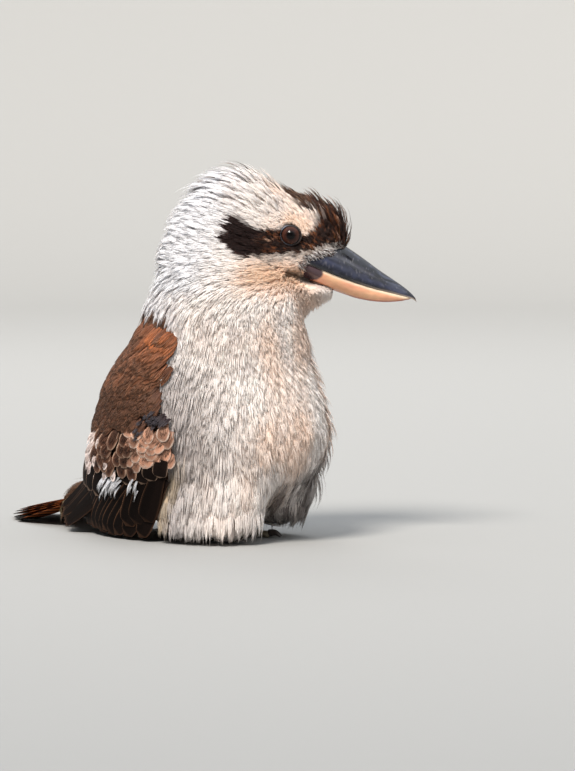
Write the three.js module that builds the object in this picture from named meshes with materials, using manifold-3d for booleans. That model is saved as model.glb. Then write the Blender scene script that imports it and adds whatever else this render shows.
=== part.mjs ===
// A laughing kookaburra at life size, in millimetres. It sits fluffed up on the floor with its breast turned
// towards the viewer, its head in profile and its tail laid on the floor behind it.
// +X is the way the bill points, +Y is the bird's far side and +Z is up.
import * as THREE from "three";
import { mergeVertices } from "three/addons/utils/BufferGeometryUtils.js";
import Module from "manifold-3d";

const wasm = await Module();
wasm.setup();

const { degToRad: rad, lerp, smoothstep } = THREE.MathUtils;
const V = (x, y, z) => new THREE.Vector3(x, y, z);

// Driving sizes
const GAP = 0.3; // kept between any two pieces that touch
const BODY_YAW = rad(34); // the breast is turned this far from the bill
const BODY_X = 6; // the body's upright axis, in the bird's frame
const HEAD_PITCH = rad(19); // the mouth line slopes down this much
const HEAD_AT = V(58, -8, 194.6); // midway between the eyes
const EYE_R = 7;
const EYE_OUT = 19.6; // of the eye's centre, from the middle of the head
const LID_R = 6.3;
const VANE_THICK = 0.6;

// The body in level slices, in the body's own frame, where +X is the way the breast faces.
// height, lean forward, reach to the front, reach to the back, half width, egg shape
const BODY = [
  [12, 2, 8, 12, 8, 0],
  [16, 1, 30, 46, 26, 0],
  [23, 0, 46, 73, 39, 0.08],
  [32, 0, 59, 89, 48, 0.12],
  [44, 0, 74, 86, 55, 0.12],
  [56, 1, 81, 82, 57, 0.08],
  [68, 4.6, 80, 80, 58, 0.05],
  [84, 6.4, 75, 75, 57, 0.02],
  [98, 7, 70, 70, 55, 0],
  [111, 8.3, 63, 63, 53, 0],
  [125, 12, 57, 57, 50, 0],
  [145, 10.5, 55, 56, 47, 0],
  [161, 12.5, 48, 48, 44, 0],
  [172, 13.5, 44, 44, 41, 0],
  [182, 14.5, 40, 41, 38, 0],
  [194, 15, 34, 36, 33, 0],
  [205, 15, 26, 27, 25, 0],
  [211, 15, 12, 12, 12, 0],
];
const NECK_CUT = 150; // the height where neck and torso part
const [LEAN, FRONT, BACK, SIDE, EGG] = [1, 2, 3, 4, 5];

// The head in upright slices along its own +X, which points along the mouth line.
// place along the head, height of the middle, half height, half width
const HEAD = [
  [-74, -27, 5, 5],
  [-69, -27, 25, 19],
  [-58, -21, 39, 30],
  [-45, -16.5, 44, 35],
  [-33, -15.5, 43.5, 36],
  [-20, -15, 42.5, 34],
  [-6, -13, 41, 28.5],
  [4, -11.5, 39.5, 25],
  [14, -10.5, 37.5, 21.5],
  [24, -11, 34.5, 18.5],
  [31, -12.5, 28, 15.5],
  [35.5, -13, 20, 11],
  [37.5, -13, 6, 4],
];

// The bill, along the head's +X: place, top edge, mouth line, lower edge, half width
const BILL = [
  [13, 5, -14, -22.5, 15.5],
  [20, 6, -14.3, -23.8, 15.6],
  [30, 5.4, -14.8, -24.6, 14.6],
  [38, 3.6, -15.2, -25, 13],
  [50, 0.2, -15.5, -25.1, 10],
  [60, -3, -15.3, -24, 7.8],
  [70, -5.7, -14.6, -21.6, 5.6],
  [80, -8.6, -13.9, -17.6, 3.3],
  [86, -11.1, -13.7, -14.7, 1.9],
  [90.5, -14, -14.9, -14.8, 0.5],
];
const [BILL_TOP, BILL_MOUTH, BILL_LOW, BILL_HALF] = [1, 2, 3, 4];

// The value of a column at a place, on a smooth curve through the rows.
function along(rows, column, place) {
  const last = rows.length - 1;
  let i = 0;
  while (i < last - 1 && place > rows[i + 1][0]) i++;
  const [a, b] = [rows[i], rows[i + 1]];
  const slope = (p, q) => (q[column] - p[column]) / (q[0] - p[0]);
  const here = slope(a, b);
  const enter = i > 0 ? limited(slope(rows[i - 1], a), here) : here;
  const leave = i < last - 1 ? limited(here, slope(b, rows[i + 2])) : here;
  const span = b[0] - a[0];
  const t = THREE.MathUtils.clamp((place - a[0]) / span, 0, 1);
  const u = 1 - t;
  return (
    a[column] * u * u * (1 + 2 * t) +
    b[column] * t * t * (3 - 2 * t) +
    span * t * u * (enter * u - leave * t)
  );
}

// The harmonic mean of two slopes, which keeps the curve from overshooting.
function limited(p, q) {
  return p * q <= 0 ? 0 : (2 * p * q) / (p + q);
}

// A closed solid from a geometry: its seams are merged and its faces point out.
function solid(geometry) {
  const bare = geometry.index ? geometry.clone() : geometry;
  bare.deleteAttribute("normal");
  bare.deleteAttribute("uv");
  const merged = mergeVertices(bare, 1e-4);
  const triVerts = [];
  const index = merged.index.array;
  for (let i = 0; i < index.length; i += 3) {
    const [a, b, c] = index.slice(i, i + 3);
    if (a !== b && b !== c && a !== c) triVerts.push(a, b, c);
  }
  const made = (tris) =>
    new wasm.Manifold(
      new wasm.Mesh({
        numProp: 3,
        vertProperties: new Float32Array(merged.attributes.position.array),
        triVerts: new Uint32Array(tris),
      }),
    );
  const first = made(triVerts);
  return first.volume() > 0 ? first : made([...triVerts].reverse());
}

// The largest closed piece of a solid, as a geometry.
function geometryOf(manifold) {
  const pieces = manifold.simplify(0.04).decompose().sort((a, b) => b.volume() - a.volume());
  const mesh = pieces[0].getMesh();
  const position = new Float32Array(mesh.numVert * 3);
  for (let i = 0; i < mesh.numVert; i++) {
    const at = i * mesh.numProp;
    position.set(mesh.vertProperties.subarray(at, at + 3), i * 3);
  }
  return new THREE.BufferGeometry()
    .setAttribute("position", new THREE.BufferAttribute(position, 3))
    .setIndex(new THREE.BufferAttribute(mesh.triVerts, 1));
}

// A sphere whose points are moved by place(x, y, z), which gets them on the unit sphere.
function shaped(around, rows, place) {
  const geometry = new THREE.SphereGeometry(1, around, rows);
  const position = geometry.attributes.position;
  const p = V();
  for (let i = 0; i < position.count; i++) {
    p.fromBufferAttribute(position, i);
    p.copy(place(p.x, p.y, p.z));
    position.setXYZ(i, p.x, p.y, p.z);
  }
  return geometry;
}

// A closed loft. ring(share, angle) gives a point, share running from 0 to 1 along it.
function loft(around, rows, ring) {
  return shaped(around, rows, (x, y, z) => {
    const share = Math.acos(THREE.MathUtils.clamp(-y, -1, 1)) / Math.PI;
    return ring(share, Math.atan2(z, x), Math.hypot(x, z) < 1e-6);
  });
}

// Slices of a loft, spaced so that they crowd towards both ends.
const crowded = (share, low, high) =>
  lerp(low, high, (share + (1 - Math.cos(Math.PI * share)) / 2) / 2);

// A point on the body's surface at a height. Angle 0 is the front and 90 degrees is the bird's left.
function bodySurface(angle, height, grow = 0) {
  const [c, s] = [Math.cos(angle), Math.sin(angle)];
  const reach = along(BODY, c > 0 ? FRONT : BACK, height) + grow;
  const side = (along(BODY, SIDE, height) + grow) * (1 + along(BODY, EGG, height) * c);
  return V(along(BODY, LEAN, height) + reach * c, side * s, height);
}

function bodySolid(grow = 0) {
  return solid(
    loft(28, 24, (share, angle, pole) => {
      const height = crowded(share, BODY[0][0], BODY.at(-1)[0]);
      const end = height + (share > 0.5 ? grow : -grow);
      return pole ? V(along(BODY, LEAN, height), 0, end) : bodySurface(angle, height, grow);
    }),
  );
}

// A point on the head's surface. Angle 0 is the crown and 90 degrees is the bird's left cheek.
function headSurface(angle, place, grow = 0) {
  const [c, s] = [Math.cos(angle), Math.sin(angle)];
  const high = along(HEAD, 2, place) + grow;
  const throat = 1 - 0.22 * Math.max(0, -c) ** 2;
  const flatCrown = Math.sign(s) * Math.abs(s) ** (c > 0 ? 0.86 : 1);
  const wide = (along(HEAD, 3, place) + grow) * throat;
  return V(place, wide * flatCrown, along(HEAD, 1, place) + high * c);
}

function headSolid(grow = 0) {
  return solid(
    loft(28, 20, (share, angle, pole) => {
      const place = crowded(share, HEAD[0][0], HEAD.at(-1)[0]);
      const end = place + (share > 0.5 ? grow : -grow);
      return pole ? V(end, 0, along(HEAD, 1, place)) : headSurface(angle, place, grow);
    }),
  );
}

// A half of the bill between two of its edges. The ridge is rounded and the mouth edge is flat.
function billSolid(upper, grow = 0) {
  const [low, high] = [BILL[0][0], upper ? BILL.at(-1)[0] : BILL.at(-2)[0] + 0.6];
  return solid(
    loft(14, 14, (share, angle, pole) => {
      const place = lerp(low, high + grow, share);
      const mouth = along(BILL, BILL_MOUTH, place) + (upper ? GAP / 2 : -GAP / 2);
      const edge = along(BILL, upper ? BILL_TOP : BILL_LOW, place);
      const high1 = edge - mouth;
      const half = along(BILL, BILL_HALF, place) * (upper ? 1 : 0.94) + grow;
      const [c, s] = [Math.cos(angle), Math.sin(angle)];
      if (pole) return V(place, 0, mouth + high1 * 0.4);
      const rise = s > 0 ? s ** 0.9 * (Math.abs(high1) + grow) : s * (0.08 + grow);
      const across = half * Math.sign(c) * Math.abs(c) ** (s > 0 ? 1.12 : 0.7);
      return V(place, across, mouth + Math.sign(high1) * rise);
    }),
  );
}

// A flat feather along a curve, with a low ridge for its shaft and a rounded tip.
// facing(share) is the way its upper face looks. It is widest at the share named full.
function vane({ curve, facing, width, thick = VANE_THICK, steps = 5, full = 0.6, point = 0.2, root = 0.5 }) {
  const ridge = 1.5;
  const section = [
    [-1, 0.5],
    [0, ridge - 0.5],
    [1, 0.5],
    [1, -0.5],
    [-1, -0.5],
  ];
  const points = [];
  const rows = steps + 1;
  for (let i = 0; i < rows; i++) {
    const share = i / steps;
    const at = curve.getPoint(share);
    const ahead = curve.getTangent(share).normalize();
    const up = facing(share).clone();
    up.addScaledVector(ahead, -up.dot(ahead)).normalize();
    const across = V().crossVectors(ahead, up);
    const grown = lerp(root, 1, smoothstep(share, 0, full));
    const closing = 1 - (1 - point) * smoothstep(share, full, 1) ** 1.6;
    const half = (width / 2) * grown * closing;
    for (const [a, b] of section) {
      points.push(at.clone().addScaledVector(across, a * half).addScaledVector(up, b * thick));
    }
  }
  const n = section.length;
  const index = [];
  for (let i = 0; i < rows - 1; i++) {
    for (let j = 0; j < n; j++) {
      const [a, b] = [i * n + j, i * n + ((j + 1) % n)];
      index.push(a, b, b + n, a, b + n, a + n);
    }
  }
  for (let j = 1; j < n - 1; j++) {
    const end = (rows - 1) * n;
    index.push(0, j + 1, j, end, end + j, end + j + 1);
  }
  return solid(new THREE.BufferGeometry().setFromPoints(points).setIndex(index));
}

const joined = (pieces) => wasm.Manifold.union(pieces);

// The seeded draw that varies repeated pieces.
function draws(seed) {
  let state = seed;
  return (low, high) => {
    state = (state * 1664525 + 1013904223) % 4294967296;
    return lerp(low, high, state / 4294967296);
  };
}

const colour = (r, g, b) => new THREE.Color().setRGB(r, g, b, THREE.SRGBColorSpace);
const plumage = (r, g, b) =>
  new THREE.MeshStandardMaterial({ color: colour(r, g, b), roughness: 0.85, metalness: 0 });
const WHITE_PLUMAGE = plumage(0.9, 0.87, 0.83);
const BROWN_PLUMAGE = plumage(0.34, 0.22, 0.16);
const TAIL_PLUMAGE = plumage(0.5, 0.28, 0.16);
const BILL_DARK = new THREE.MeshStandardMaterial({
  color: colour(0.13, 0.13, 0.17),
  roughness: 0.4,
  metalness: 0,
});
const BILL_PALE = new THREE.MeshStandardMaterial({
  color: colour(0.87, 0.62, 0.5),
  roughness: 0.45,
  metalness: 0,
});
const EYE_DARK = new THREE.MeshStandardMaterial({
  color: colour(0.14, 0.08, 0.06),
  roughness: 0.06,
  metalness: 0,
});
const FOOT_SKIN = new THREE.MeshStandardMaterial({
  color: colour(0.42, 0.4, 0.35),
  roughness: 0.6,
  metalness: 0,
});
const CLAW_HORN = new THREE.MeshStandardMaterial({
  color: colour(0.14, 0.12, 0.11),
  roughness: 0.4,
  metalness: 0,
});

const bird = new THREE.Group();
const body = new THREE.Group();
body.position.set(BODY_X, 0, 0);
body.rotation.z = -BODY_YAW;
const head = new THREE.Group();
head.position.copy(HEAD_AT);
head.rotation.y = HEAD_PITCH;
bird.add(body, head);
bird.updateMatrixWorld(true);
const headToBody = body.matrixWorld.clone().invert().multiply(head.matrixWorld);

function add(group, name, manifold, material) {
  const mesh = new THREE.Mesh(geometryOf(manifold), material);
  mesh.name = name;
  group.add(mesh);
}

const moved = (manifold, matrix) => solid(geometryOf(manifold).applyMatrix4(matrix));
const mirrored = (manifold) => moved(manifold, new THREE.Matrix4().makeScale(1, -1, 1));

// Thighs: the fluff over each leg, which hangs nearly to the floor on the near side.
const THIGH = { x: 13, y: 41, halfLong: 41, halfWide: 17, top: 56 };
const THIGH_LOW = { right: 2.5, left: 8 };
function thighSolid(side, grow = 0) {
  const low = THIGH_LOW[side];
  const sign = side === "left" ? 1 : -1;
  const middle = (THIGH.top + low) / 2;
  const half = (THIGH.top - low) / 2 + grow;
  return solid(
    shaped(16, 10, (x, y, z) => {
      const skirt = 1 - 0.25 * Math.max(0, y);
      return V(
        THIGH.x + x * (THIGH.halfLong + grow) * skirt - y * 4,
        sign * THIGH.y + z * (THIGH.halfWide + grow) * skirt + sign * y * -4,
        middle + Math.sign(y) * Math.abs(y) ** 0.9 * half,
      );
    }),
  );
}

// Feet: a slanting shank, three toes in front and one behind, with flats under the toes.
const FOOT_Y = 17;
const ANKLE = V(-3, 0, 24);
const BALL = V(10, 0, 3.7);
const SHANK_R = 3.2;
const TOES = [
  { name: "middle", turn: 4, length: 24, thick: 3.2 },
  { name: "outer", turn: 22, length: 21, thick: 3 },
  { name: "inner", turn: -26, length: 15, thick: 2.9 },
  { name: "hind", turn: 176, length: 14, thick: 3 },
];
const CLAW_LENGTH = 8.5;

// The way a toe points, seen from above, with its turn away from the body's middle.
function toeWay(toe, sign) {
  const turn = rad(toe.turn) * sign;
  return V(Math.cos(turn), Math.sin(turn), 0);
}

// A limb of rings round a path. radius(share) gives its half thickness.
function limb(path, radius, around, rows, flat = 1) {
  return solid(
    loft(around, rows, (share, angle, pole) => {
      const at = path.getPoint(share);
      if (pole) return at;
      const ahead = path.getTangent(share).normalize();
      const across = V().crossVectors(V(0, 0, 1), ahead).normalize();
      const up = V().crossVectors(ahead, across);
      const r = radius(share);
      return at
        .addScaledVector(across, Math.cos(angle) * r)
        .addScaledVector(up, Math.sin(angle) * r * flat);
    }),
  );
}

function shankSolid(sign, grow = 0) {
  const path = new THREE.LineCurve3(ANKLE.clone(), BALL.clone());
  const radius = (share) => SHANK_R * (1.2 - 0.35 * Math.sin(Math.PI * share)) + grow;
  return limb(path, radius, 9, 6).translate([0, sign * FOOT_Y, 0]);
}

function footSolid(sign) {
  const pieces = [solid(new THREE.SphereGeometry(4.3, 10, 7).translate(BALL.x, 0, BALL.z))];
  for (const toe of TOES) {
    const way = toeWay(toe, sign);
    const end = BALL.clone().addScaledVector(way, toe.length).setZ(toe.thick * 0.52);
    const knuckle = BALL.clone().addScaledVector(way, toe.length * 0.5).setZ(toe.thick * 0.7);
    const pads = (share) => {
      const joints = 1 + 0.1 * Math.cos(share * Math.PI * 6);
      return toe.thick * lerp(1.05, 0.72, share) * joints;
    };
    pieces.push(limb(new THREE.QuadraticBezierCurve3(BALL.clone(), knuckle, end), pads, 8, 8, 0.9));
  }
  return joined(pieces).translate([0, sign * FOOT_Y, 0]).add(shankSolid(sign));
}

function clawSolid(toe, sign) {
  const way = toeWay(toe, sign);
  const start = BALL.clone().addScaledVector(way, toe.length + GAP).setZ(toe.thick * 0.8);
  const mid = start.clone().addScaledVector(way, CLAW_LENGTH * 0.6).setZ(start.z + 2.2);
  const end = start.clone().addScaledVector(way, CLAW_LENGTH * 0.95).setZ(0.7);
  const path = new THREE.QuadraticBezierCurve3(start, mid, end);
  const radius = (share) => 1.75 * (1 - share) ** 0.8 + 0.3;
  return limb(path, radius, 6, 5, 1.15).translate([0, sign * FOOT_Y, 0]);
}

// The wing lies on a shell a little outside the body, which hangs straight down near the floor.
const HANG_BELOW = 46;
const WING_CLEAR = 1; // the wing tips end this far above the floor
function shell(angle, height, out) {
  const drop = Math.max(0, HANG_BELOW - height);
  const p = bodySurface(angle, Math.max(height, HANG_BELOW), out);
  const sideways = -0.17 * drop * Math.abs(Math.sin(angle));
  const backward = -0.12 * drop * Math.max(0, -Math.cos(angle));
  return V(p.x + backward, p.y + Math.sign(p.y) * sideways, height);
}

function shellNormal(angle, height) {
  const step = 0.02;
  const round = shell(angle + step, height, 0).sub(shell(angle - step, height, 0));
  const rise = shell(angle, height + 1, 0).sub(shell(angle, height - 1, 0));
  const normal = round.cross(rise).normalize();
  const outward = V(Math.cos(angle), Math.sin(angle), 0);
  return normal.dot(outward) < 0 ? normal.negate() : normal;
}

// The lens under a wing's small feathers, before the body is cut from it. All wings are made on the left.
const WING_LENS = { angle: 128, halfAngle: 46, height: 88, halfHeight: 52, out: 7.5, in: 6 };
function wingLens() {
  const lens = WING_LENS;
  return solid(
    shaped(20, 12, (x, y, z) => {
      const height = lens.height + z * lens.halfHeight;
      const angle = rad(lens.angle + x * lens.halfAngle + z * 4);
      return shell(angle, height, y > 0 ? y * lens.out : y * lens.in);
    }),
  );
}

// A row of feathers on the shell. from and to are [angle at its front, angle at its back] in degrees.
const WING_TIERS = [
  { name: "scapulars", count: 6, from: [101, 166], to: [108, 172], high: [126, 122], low: [88, 84], width: 22, out: 7.4, steps: 3 },
  { name: "medians", count: 8, from: [88, 160], to: [94, 168], high: [70, 78], low: [47, 52], width: 17, out: 6.8, steps: 3 },
  { name: "greaters", count: 8, from: [85, 154], to: [94, 166], high: [56, 62], low: [25, 30], width: 16, out: 5.2, steps: 4 },
  { name: "secondaries", count: 10, from: [86, 140], to: [96, 163], high: [44, 50], low: [0.8, 8], width: 18, out: 3.4, steps: 5 },
];
const PRIMARIES = { count: 5, from: [122, 150], high: [40, 46], tip: [V(-104, 19, 16), V(-128, 6, 26)], width: 12 };

function tierVanes(tier, draw) {
  const vanes = [];
  const lean = 0.16; // each feather is rolled a little, so that it slides under the one behind it
  for (let i = 0; i < tier.count; i++) {
    const share = i / (tier.count - 1);
    const [a0, a1] = [rad(lerp(...tier.from, share)), rad(lerp(...tier.to, share))];
    const [z0, z1] = [lerp(...tier.high, share), lerp(...tier.low, share) + draw(0, 1.6)];
    const at = (t) => shell(lerp(a0, a1, t), lerp(z0, z1, t), tier.out - 1.6 * (1 - t));
    const [root, tip, middle] = [at(0), at(1), at(0.5)];
    const control = middle.multiplyScalar(2).addScaledVector(root, -0.5).addScaledVector(tip, -0.5);
    const [n0, n1] = [shellNormal(a0, z0), shellNormal(a1, z1)];
    const round = V(-Math.sin(a1), Math.cos(a1), 0);
    vanes.push(
      vane({
        curve: new THREE.QuadraticBezierCurve3(root, control, tip),
        facing: (t) => n0.clone().lerp(n1, t).addScaledVector(round, -lean),
        width: tier.width * draw(0.94, 1.06),
        point: 0.3,
        steps: tier.steps,
      }),
    );
  }
  return vanes;
}

function primaryVanes(draw) {
  const vanes = [];
  for (let i = 0; i < PRIMARIES.count; i++) {
    const share = i / (PRIMARIES.count - 1);
    const angle = rad(lerp(...PRIMARIES.from, share));
    const height = lerp(...PRIMARIES.high, share);
    const root = shell(angle, height, 1.2);
    const tip = PRIMARIES.tip[0].clone().lerp(PRIMARIES.tip[1], share);
    tip.x += draw(-1.5, 1.5);
    const bulge = shell(rad(lerp(150, 164, share)), lerp(24, 34, share), 4);
    const start = shellNormal(angle, height);
    const end = V(-0.25, 0.35, 0.9);
    vanes.push(
      vane({
        curve: new THREE.QuadraticBezierCurve3(root, bulge, tip),
        facing: (t) => start.clone().lerp(end, t),
        width: PRIMARIES.width,
        full: 0.4,
        point: 0.25,
      }),
    );
  }
  return vanes;
}

function wingSolid() {
  const draw = draws(7);
  const pieces = [wingLens(), ...WING_TIERS.flatMap((tier) => tierVanes(tier, draw)), ...primaryVanes(draw)];
  return joined(pieces);
}

// Tail: twelve long feathers out of a lens of coverts, laid down to the floor and swung to the far side.
const TAIL_ROOT = V(-84, 2, 27);
const TAIL_SWING = rad(31);
const TAIL_LENGTH = 128;
const TAIL_HALF = 6; // feathers on each side
const TAIL_SPREAD = rad(5.6); // between the middle and the outermost feather of a side
const TAIL_WIDTH = 17;

function tailSolid() {
  const lens = solid(
    shaped(18, 12, (x, y, z) => {
      const taper = 1 + 0.25 * x;
      return V(-14 - x * 34, z * 21 * taper, y * 12.5 * taper - 4 - x * 8);
    }),
  );
  const pieces = [lens];
  for (const sign of [-1, 1]) {
    for (let i = 0; i < TAIL_HALF; i++) {
      const rank = TAIL_HALF - 1 - i;
      const turn = sign * (0.35 + i) * (TAIL_SPREAD / TAIL_HALF) * 2;
      const layer = (VANE_THICK + 0.35) * rank + (sign > 0 ? 0.45 : 0);
      const length = TAIL_LENGTH * (1 - 0.012 * i * i);
      const way = (far, z) => V(-far * Math.cos(turn), far * Math.sin(turn) + sign * i * 1.7, z);
      const path = new THREE.QuadraticBezierCurve3(
        way(6, -5 + layer * 0.5),
        way(length * 0.55, -17.5 + layer),
        way(length, -TAIL_ROOT.z + 0.2 + layer),
      );
      pieces.push(
        vane({
          curve: path,
          facing: () => V(0, sign * 0.03, 1),
          width: TAIL_WIDTH,
          full: 0.75,
          point: 0.35,
          root: 0.4,
          steps: 6,
        }),
      );
    }
  }
  const place = new THREE.Matrix4().makeRotationZ(-TAIL_SWING).setPosition(TAIL_ROOT);
  return moved(joined(pieces), place);
}

// The crown's raised feathers, in rows across the back of the head.
const CROWN_ROWS = [
  { place: -6, count: 4, spread: 34, length: 9 },
  { place: -18, count: 5, spread: 44, length: 11 },
  { place: -30, count: 6, spread: 52, length: 13 },
  { place: -42, count: 6, spread: 56, length: 13 },
  { place: -53, count: 5, spread: 58, length: 12 },
  { place: -62, count: 4, spread: 52, length: 11 },
];
function crownLocks() {
  const draw = draws(3);
  const locks = [];
  for (const row of CROWN_ROWS) {
    for (let i = 0; i < row.count; i++) {
      const angle = rad(lerp(-row.spread, row.spread, (i + 0.5) / row.count) + draw(-3, 3));
      const place = row.place + draw(-2, 2);
      const root = headSurface(angle, place, -2.5);
      const out = root.clone().sub(V(place, 0, -14)).normalize();
      const flow = V(-1, 0, -0.15).addScaledVector(out, 0.34).normalize();
      const tip = root.clone().addScaledVector(flow, row.length * draw(0.85, 1.1));
      const middle = root.clone().lerp(tip, 0.5).addScaledVector(out, 1.1);
      locks.push(
        vane({
          curve: new THREE.QuadraticBezierCurve3(root, middle, tip),
          facing: () => out,
          width: 5.2,
          thick: 0.8,
          steps: 2,
          full: 0.35,
          point: 0.12,
          root: 0.8,
        }),
      );
    }
  }
  return locks;
}

// Lids: a ring round each eye, then the socket that the eye sits in.
function eyeBall(sign, grow = 0) {
  return solid(new THREE.SphereGeometry(EYE_R + grow, 16, 10).translate(0, sign * EYE_OUT, 0));
}

function lidRing(sign) {
  const ring = new THREE.TorusGeometry(LID_R, 1.35, 6, 18);
  ring.rotateX(Math.PI / 2).scale(1.04, 1, 0.92).translate(0, sign * (EYE_OUT + 3.1), 0);
  return solid(ring);
}

// The corner of the mouth: a shallow groove that carries the mouth line back into the cheek.
function gapeGroove(sign) {
  const path = new THREE.QuadraticBezierCurve3(V(22, sign * 18.6, -14.4), V(14, sign * 22.4, -15), V(5, sign * 25.4, -18));
  return limb(path, (share) => 1.1 * (1 - 0.6 * share), 6, 6, 0.7);
}

function nostril(sign) {
  const path = new THREE.LineCurve3(V(36.5, sign * 10.3, -1.5), V(43, sign * 8.2, -3.4));
  return limb(path, (share) => 1.5 * Math.sin(Math.PI * lerp(0.15, 0.85, share)), 8, 6, 0.55);
}

const SIDES = [
  ["right", -1],
  ["left", 1],
];

const upperBill = billSolid(true);
const lowerBill = billSolid(false);
const billRoom = joined([billSolid(true, GAP + 0.1), billSolid(false, GAP + 0.1)]);
const mouthSeal = solid(
  new THREE.BoxGeometry(24, 26, 1.6).translate(BILL[0][0] + 12, 0, along(BILL, BILL_MOUTH, 24)),
);

let headPiece = joined([headSolid(), ...SIDES.map(([, sign]) => lidRing(sign)), ...crownLocks()]);
headPiece = headPiece.subtract(joined([billRoom, mouthSeal]));
for (const [side, sign] of SIDES) {
  headPiece = headPiece.subtract(eyeBall(sign, GAP)).subtract(gapeGroove(sign));
  add(head, `eye_${side}`, eyeBall(sign), EYE_DARK);
}
add(head, "head", headPiece, WHITE_PLUMAGE);
add(head, "bill_upper", SIDES.reduce((bill, [, sign]) => bill.subtract(nostril(sign)), upperBill), BILL_DARK);
add(head, "bill_lower", lowerBill, BILL_PALE);

const headRoom = moved(joined([headSolid(GAP), ...crownLocks()]), headToBody);
const whole = bodySolid();
const thighRoom = joined(SIDES.map(([side]) => thighSolid(side, GAP)));
const shankRoom = joined(SIDES.map(([, sign]) => shankSolid(sign, GAP)));
add(body, "neck", whole.trimByPlane([0, 0, 1], NECK_CUT + GAP / 2).subtract(headRoom), WHITE_PLUMAGE);
const torso = whole.trimByPlane([0, 0, -1], -NECK_CUT + GAP / 2).subtract(headRoom);
add(body, "torso", torso.subtract(joined([thighRoom, shankRoom])), WHITE_PLUMAGE);

const bodyRoom = bodySolid(GAP);
const tail = tailSolid().subtract(bodyRoom).trimByPlane([0, 0, 1], 0);
add(body, "tail", tail, TAIL_PLUMAGE);

const tailRoom = joined([-1, 0, 1].map((step) => tail.translate([0, 0, step * GAP])));

const wing = wingSolid().trimByPlane([0, 0, 1], WING_CLEAR).trimByPlane([0, 1, 0], GAP);
for (const [side, sign] of SIDES) {
  const whichever = sign > 0 ? wing : mirrored(wing);
  const clear = whichever.subtract(joined([bodyRoom, thighRoom, headRoom, tailRoom]));
  add(body, `wing_${side}`, clear, BROWN_PLUMAGE);
  add(body, `thigh_${side}`, thighSolid(side), WHITE_PLUMAGE);
  const foot = footSolid(sign).subtract(thighRoom).trimByPlane([0, 0, 1], 0);
  add(body, `foot_${side}`, foot, FOOT_SKIN);
  for (const toe of TOES) {
    const claw = clawSolid(toe, sign).trimByPlane([0, 0, 1], 0.05);
    add(body, `claw_${toe.name}_${side}`, claw.subtract(foot), CLAW_HORN);
  }
}

// The origin is the middle of the footprint, on the floor.
const bird0 = new THREE.Box3().setFromObject(bird, true);
const centre = bird0.getCenter(V());
bird.position.set(-centre.x, -centre.y, 0);
const root = new THREE.Group();
root.add(bird);

export default root;
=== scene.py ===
# A laughing kookaburra at life size: skin, feathers, bill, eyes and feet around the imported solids.
# Shapes are worked out in millimetres in the bird's own frame, then moved to the shared frame.
import math

import bpy
import numpy as np
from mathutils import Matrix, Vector
from mathutils.bvhtree import BVHTree


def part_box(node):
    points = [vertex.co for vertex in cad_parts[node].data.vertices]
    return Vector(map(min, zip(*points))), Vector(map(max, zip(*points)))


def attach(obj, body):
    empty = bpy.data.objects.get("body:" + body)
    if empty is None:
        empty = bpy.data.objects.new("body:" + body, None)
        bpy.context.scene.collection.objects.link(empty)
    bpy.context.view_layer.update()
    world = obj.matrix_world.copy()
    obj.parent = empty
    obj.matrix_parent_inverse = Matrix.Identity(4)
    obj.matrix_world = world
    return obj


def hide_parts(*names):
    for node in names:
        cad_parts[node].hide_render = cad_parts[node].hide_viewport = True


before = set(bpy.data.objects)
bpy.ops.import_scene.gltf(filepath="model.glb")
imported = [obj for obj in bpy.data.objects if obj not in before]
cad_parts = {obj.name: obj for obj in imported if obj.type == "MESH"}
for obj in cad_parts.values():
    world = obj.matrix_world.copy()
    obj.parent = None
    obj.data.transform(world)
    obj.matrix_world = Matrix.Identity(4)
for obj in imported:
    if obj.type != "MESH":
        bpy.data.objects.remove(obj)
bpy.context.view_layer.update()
rng = np.random.default_rng(11)

# Driving sizes, as in the part
BODY_YAW = math.radians(34)
BODY_AT = np.array([6.0, 0, 0])
HEAD_PITCH = math.radians(19)
HEAD_AT = np.array([58.0, -8, 194.6])
EYE_R = 7.0
EYE_OUT = 19.6
LID_R = 6.3

# The body in level slices: height, lean forward, reach to the front and back, half width, egg shape
BODY = np.array([
    [12, 2, 8, 12, 8, 0], [16, 1, 30, 46, 26, 0], [23, 0, 46, 73, 39, 0.08],
    [32, 0, 59, 89, 48, 0.12], [44, 0, 74, 86, 55, 0.12], [56, 1, 81, 82, 57, 0.08],
    [68, 4.6, 80, 80, 58, 0.05], [84, 6.4, 75, 75, 57, 0.02], [98, 7, 70, 70, 55, 0],
    [111, 8.3, 63, 63, 53, 0], [125, 12, 57, 57, 50, 0], [145, 10.5, 55, 56, 47, 0],
    [161, 12.5, 48, 48, 44, 0], [172, 13.5, 44, 44, 41, 0], [182, 14.5, 40, 41, 38, 0],
    [194, 15, 34, 36, 33, 0], [205, 15, 26, 27, 25, 0], [211, 15, 12, 12, 12, 0],
])
LEAN, FRONT, BACK, SIDE, EGG = 1, 2, 3, 4, 5

# The head in upright slices: place along it, height of the middle, half height, half width
HEAD = np.array([
    [-74, -27, 5, 5], [-69, -27, 25, 19], [-58, -21, 39, 30], [-45, -16.5, 44, 35],
    [-33, -15.5, 43.5, 36], [-20, -15, 42.5, 34], [-6, -13, 41, 28.5], [4, -11.5, 39.5, 25],
    [14, -10.5, 37.5, 21.5], [24, -11, 34.5, 18.5], [31, -12.5, 28, 15.5], [35.5, -13, 20, 11],
    [37.5, -13, 6, 4],
])

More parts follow.
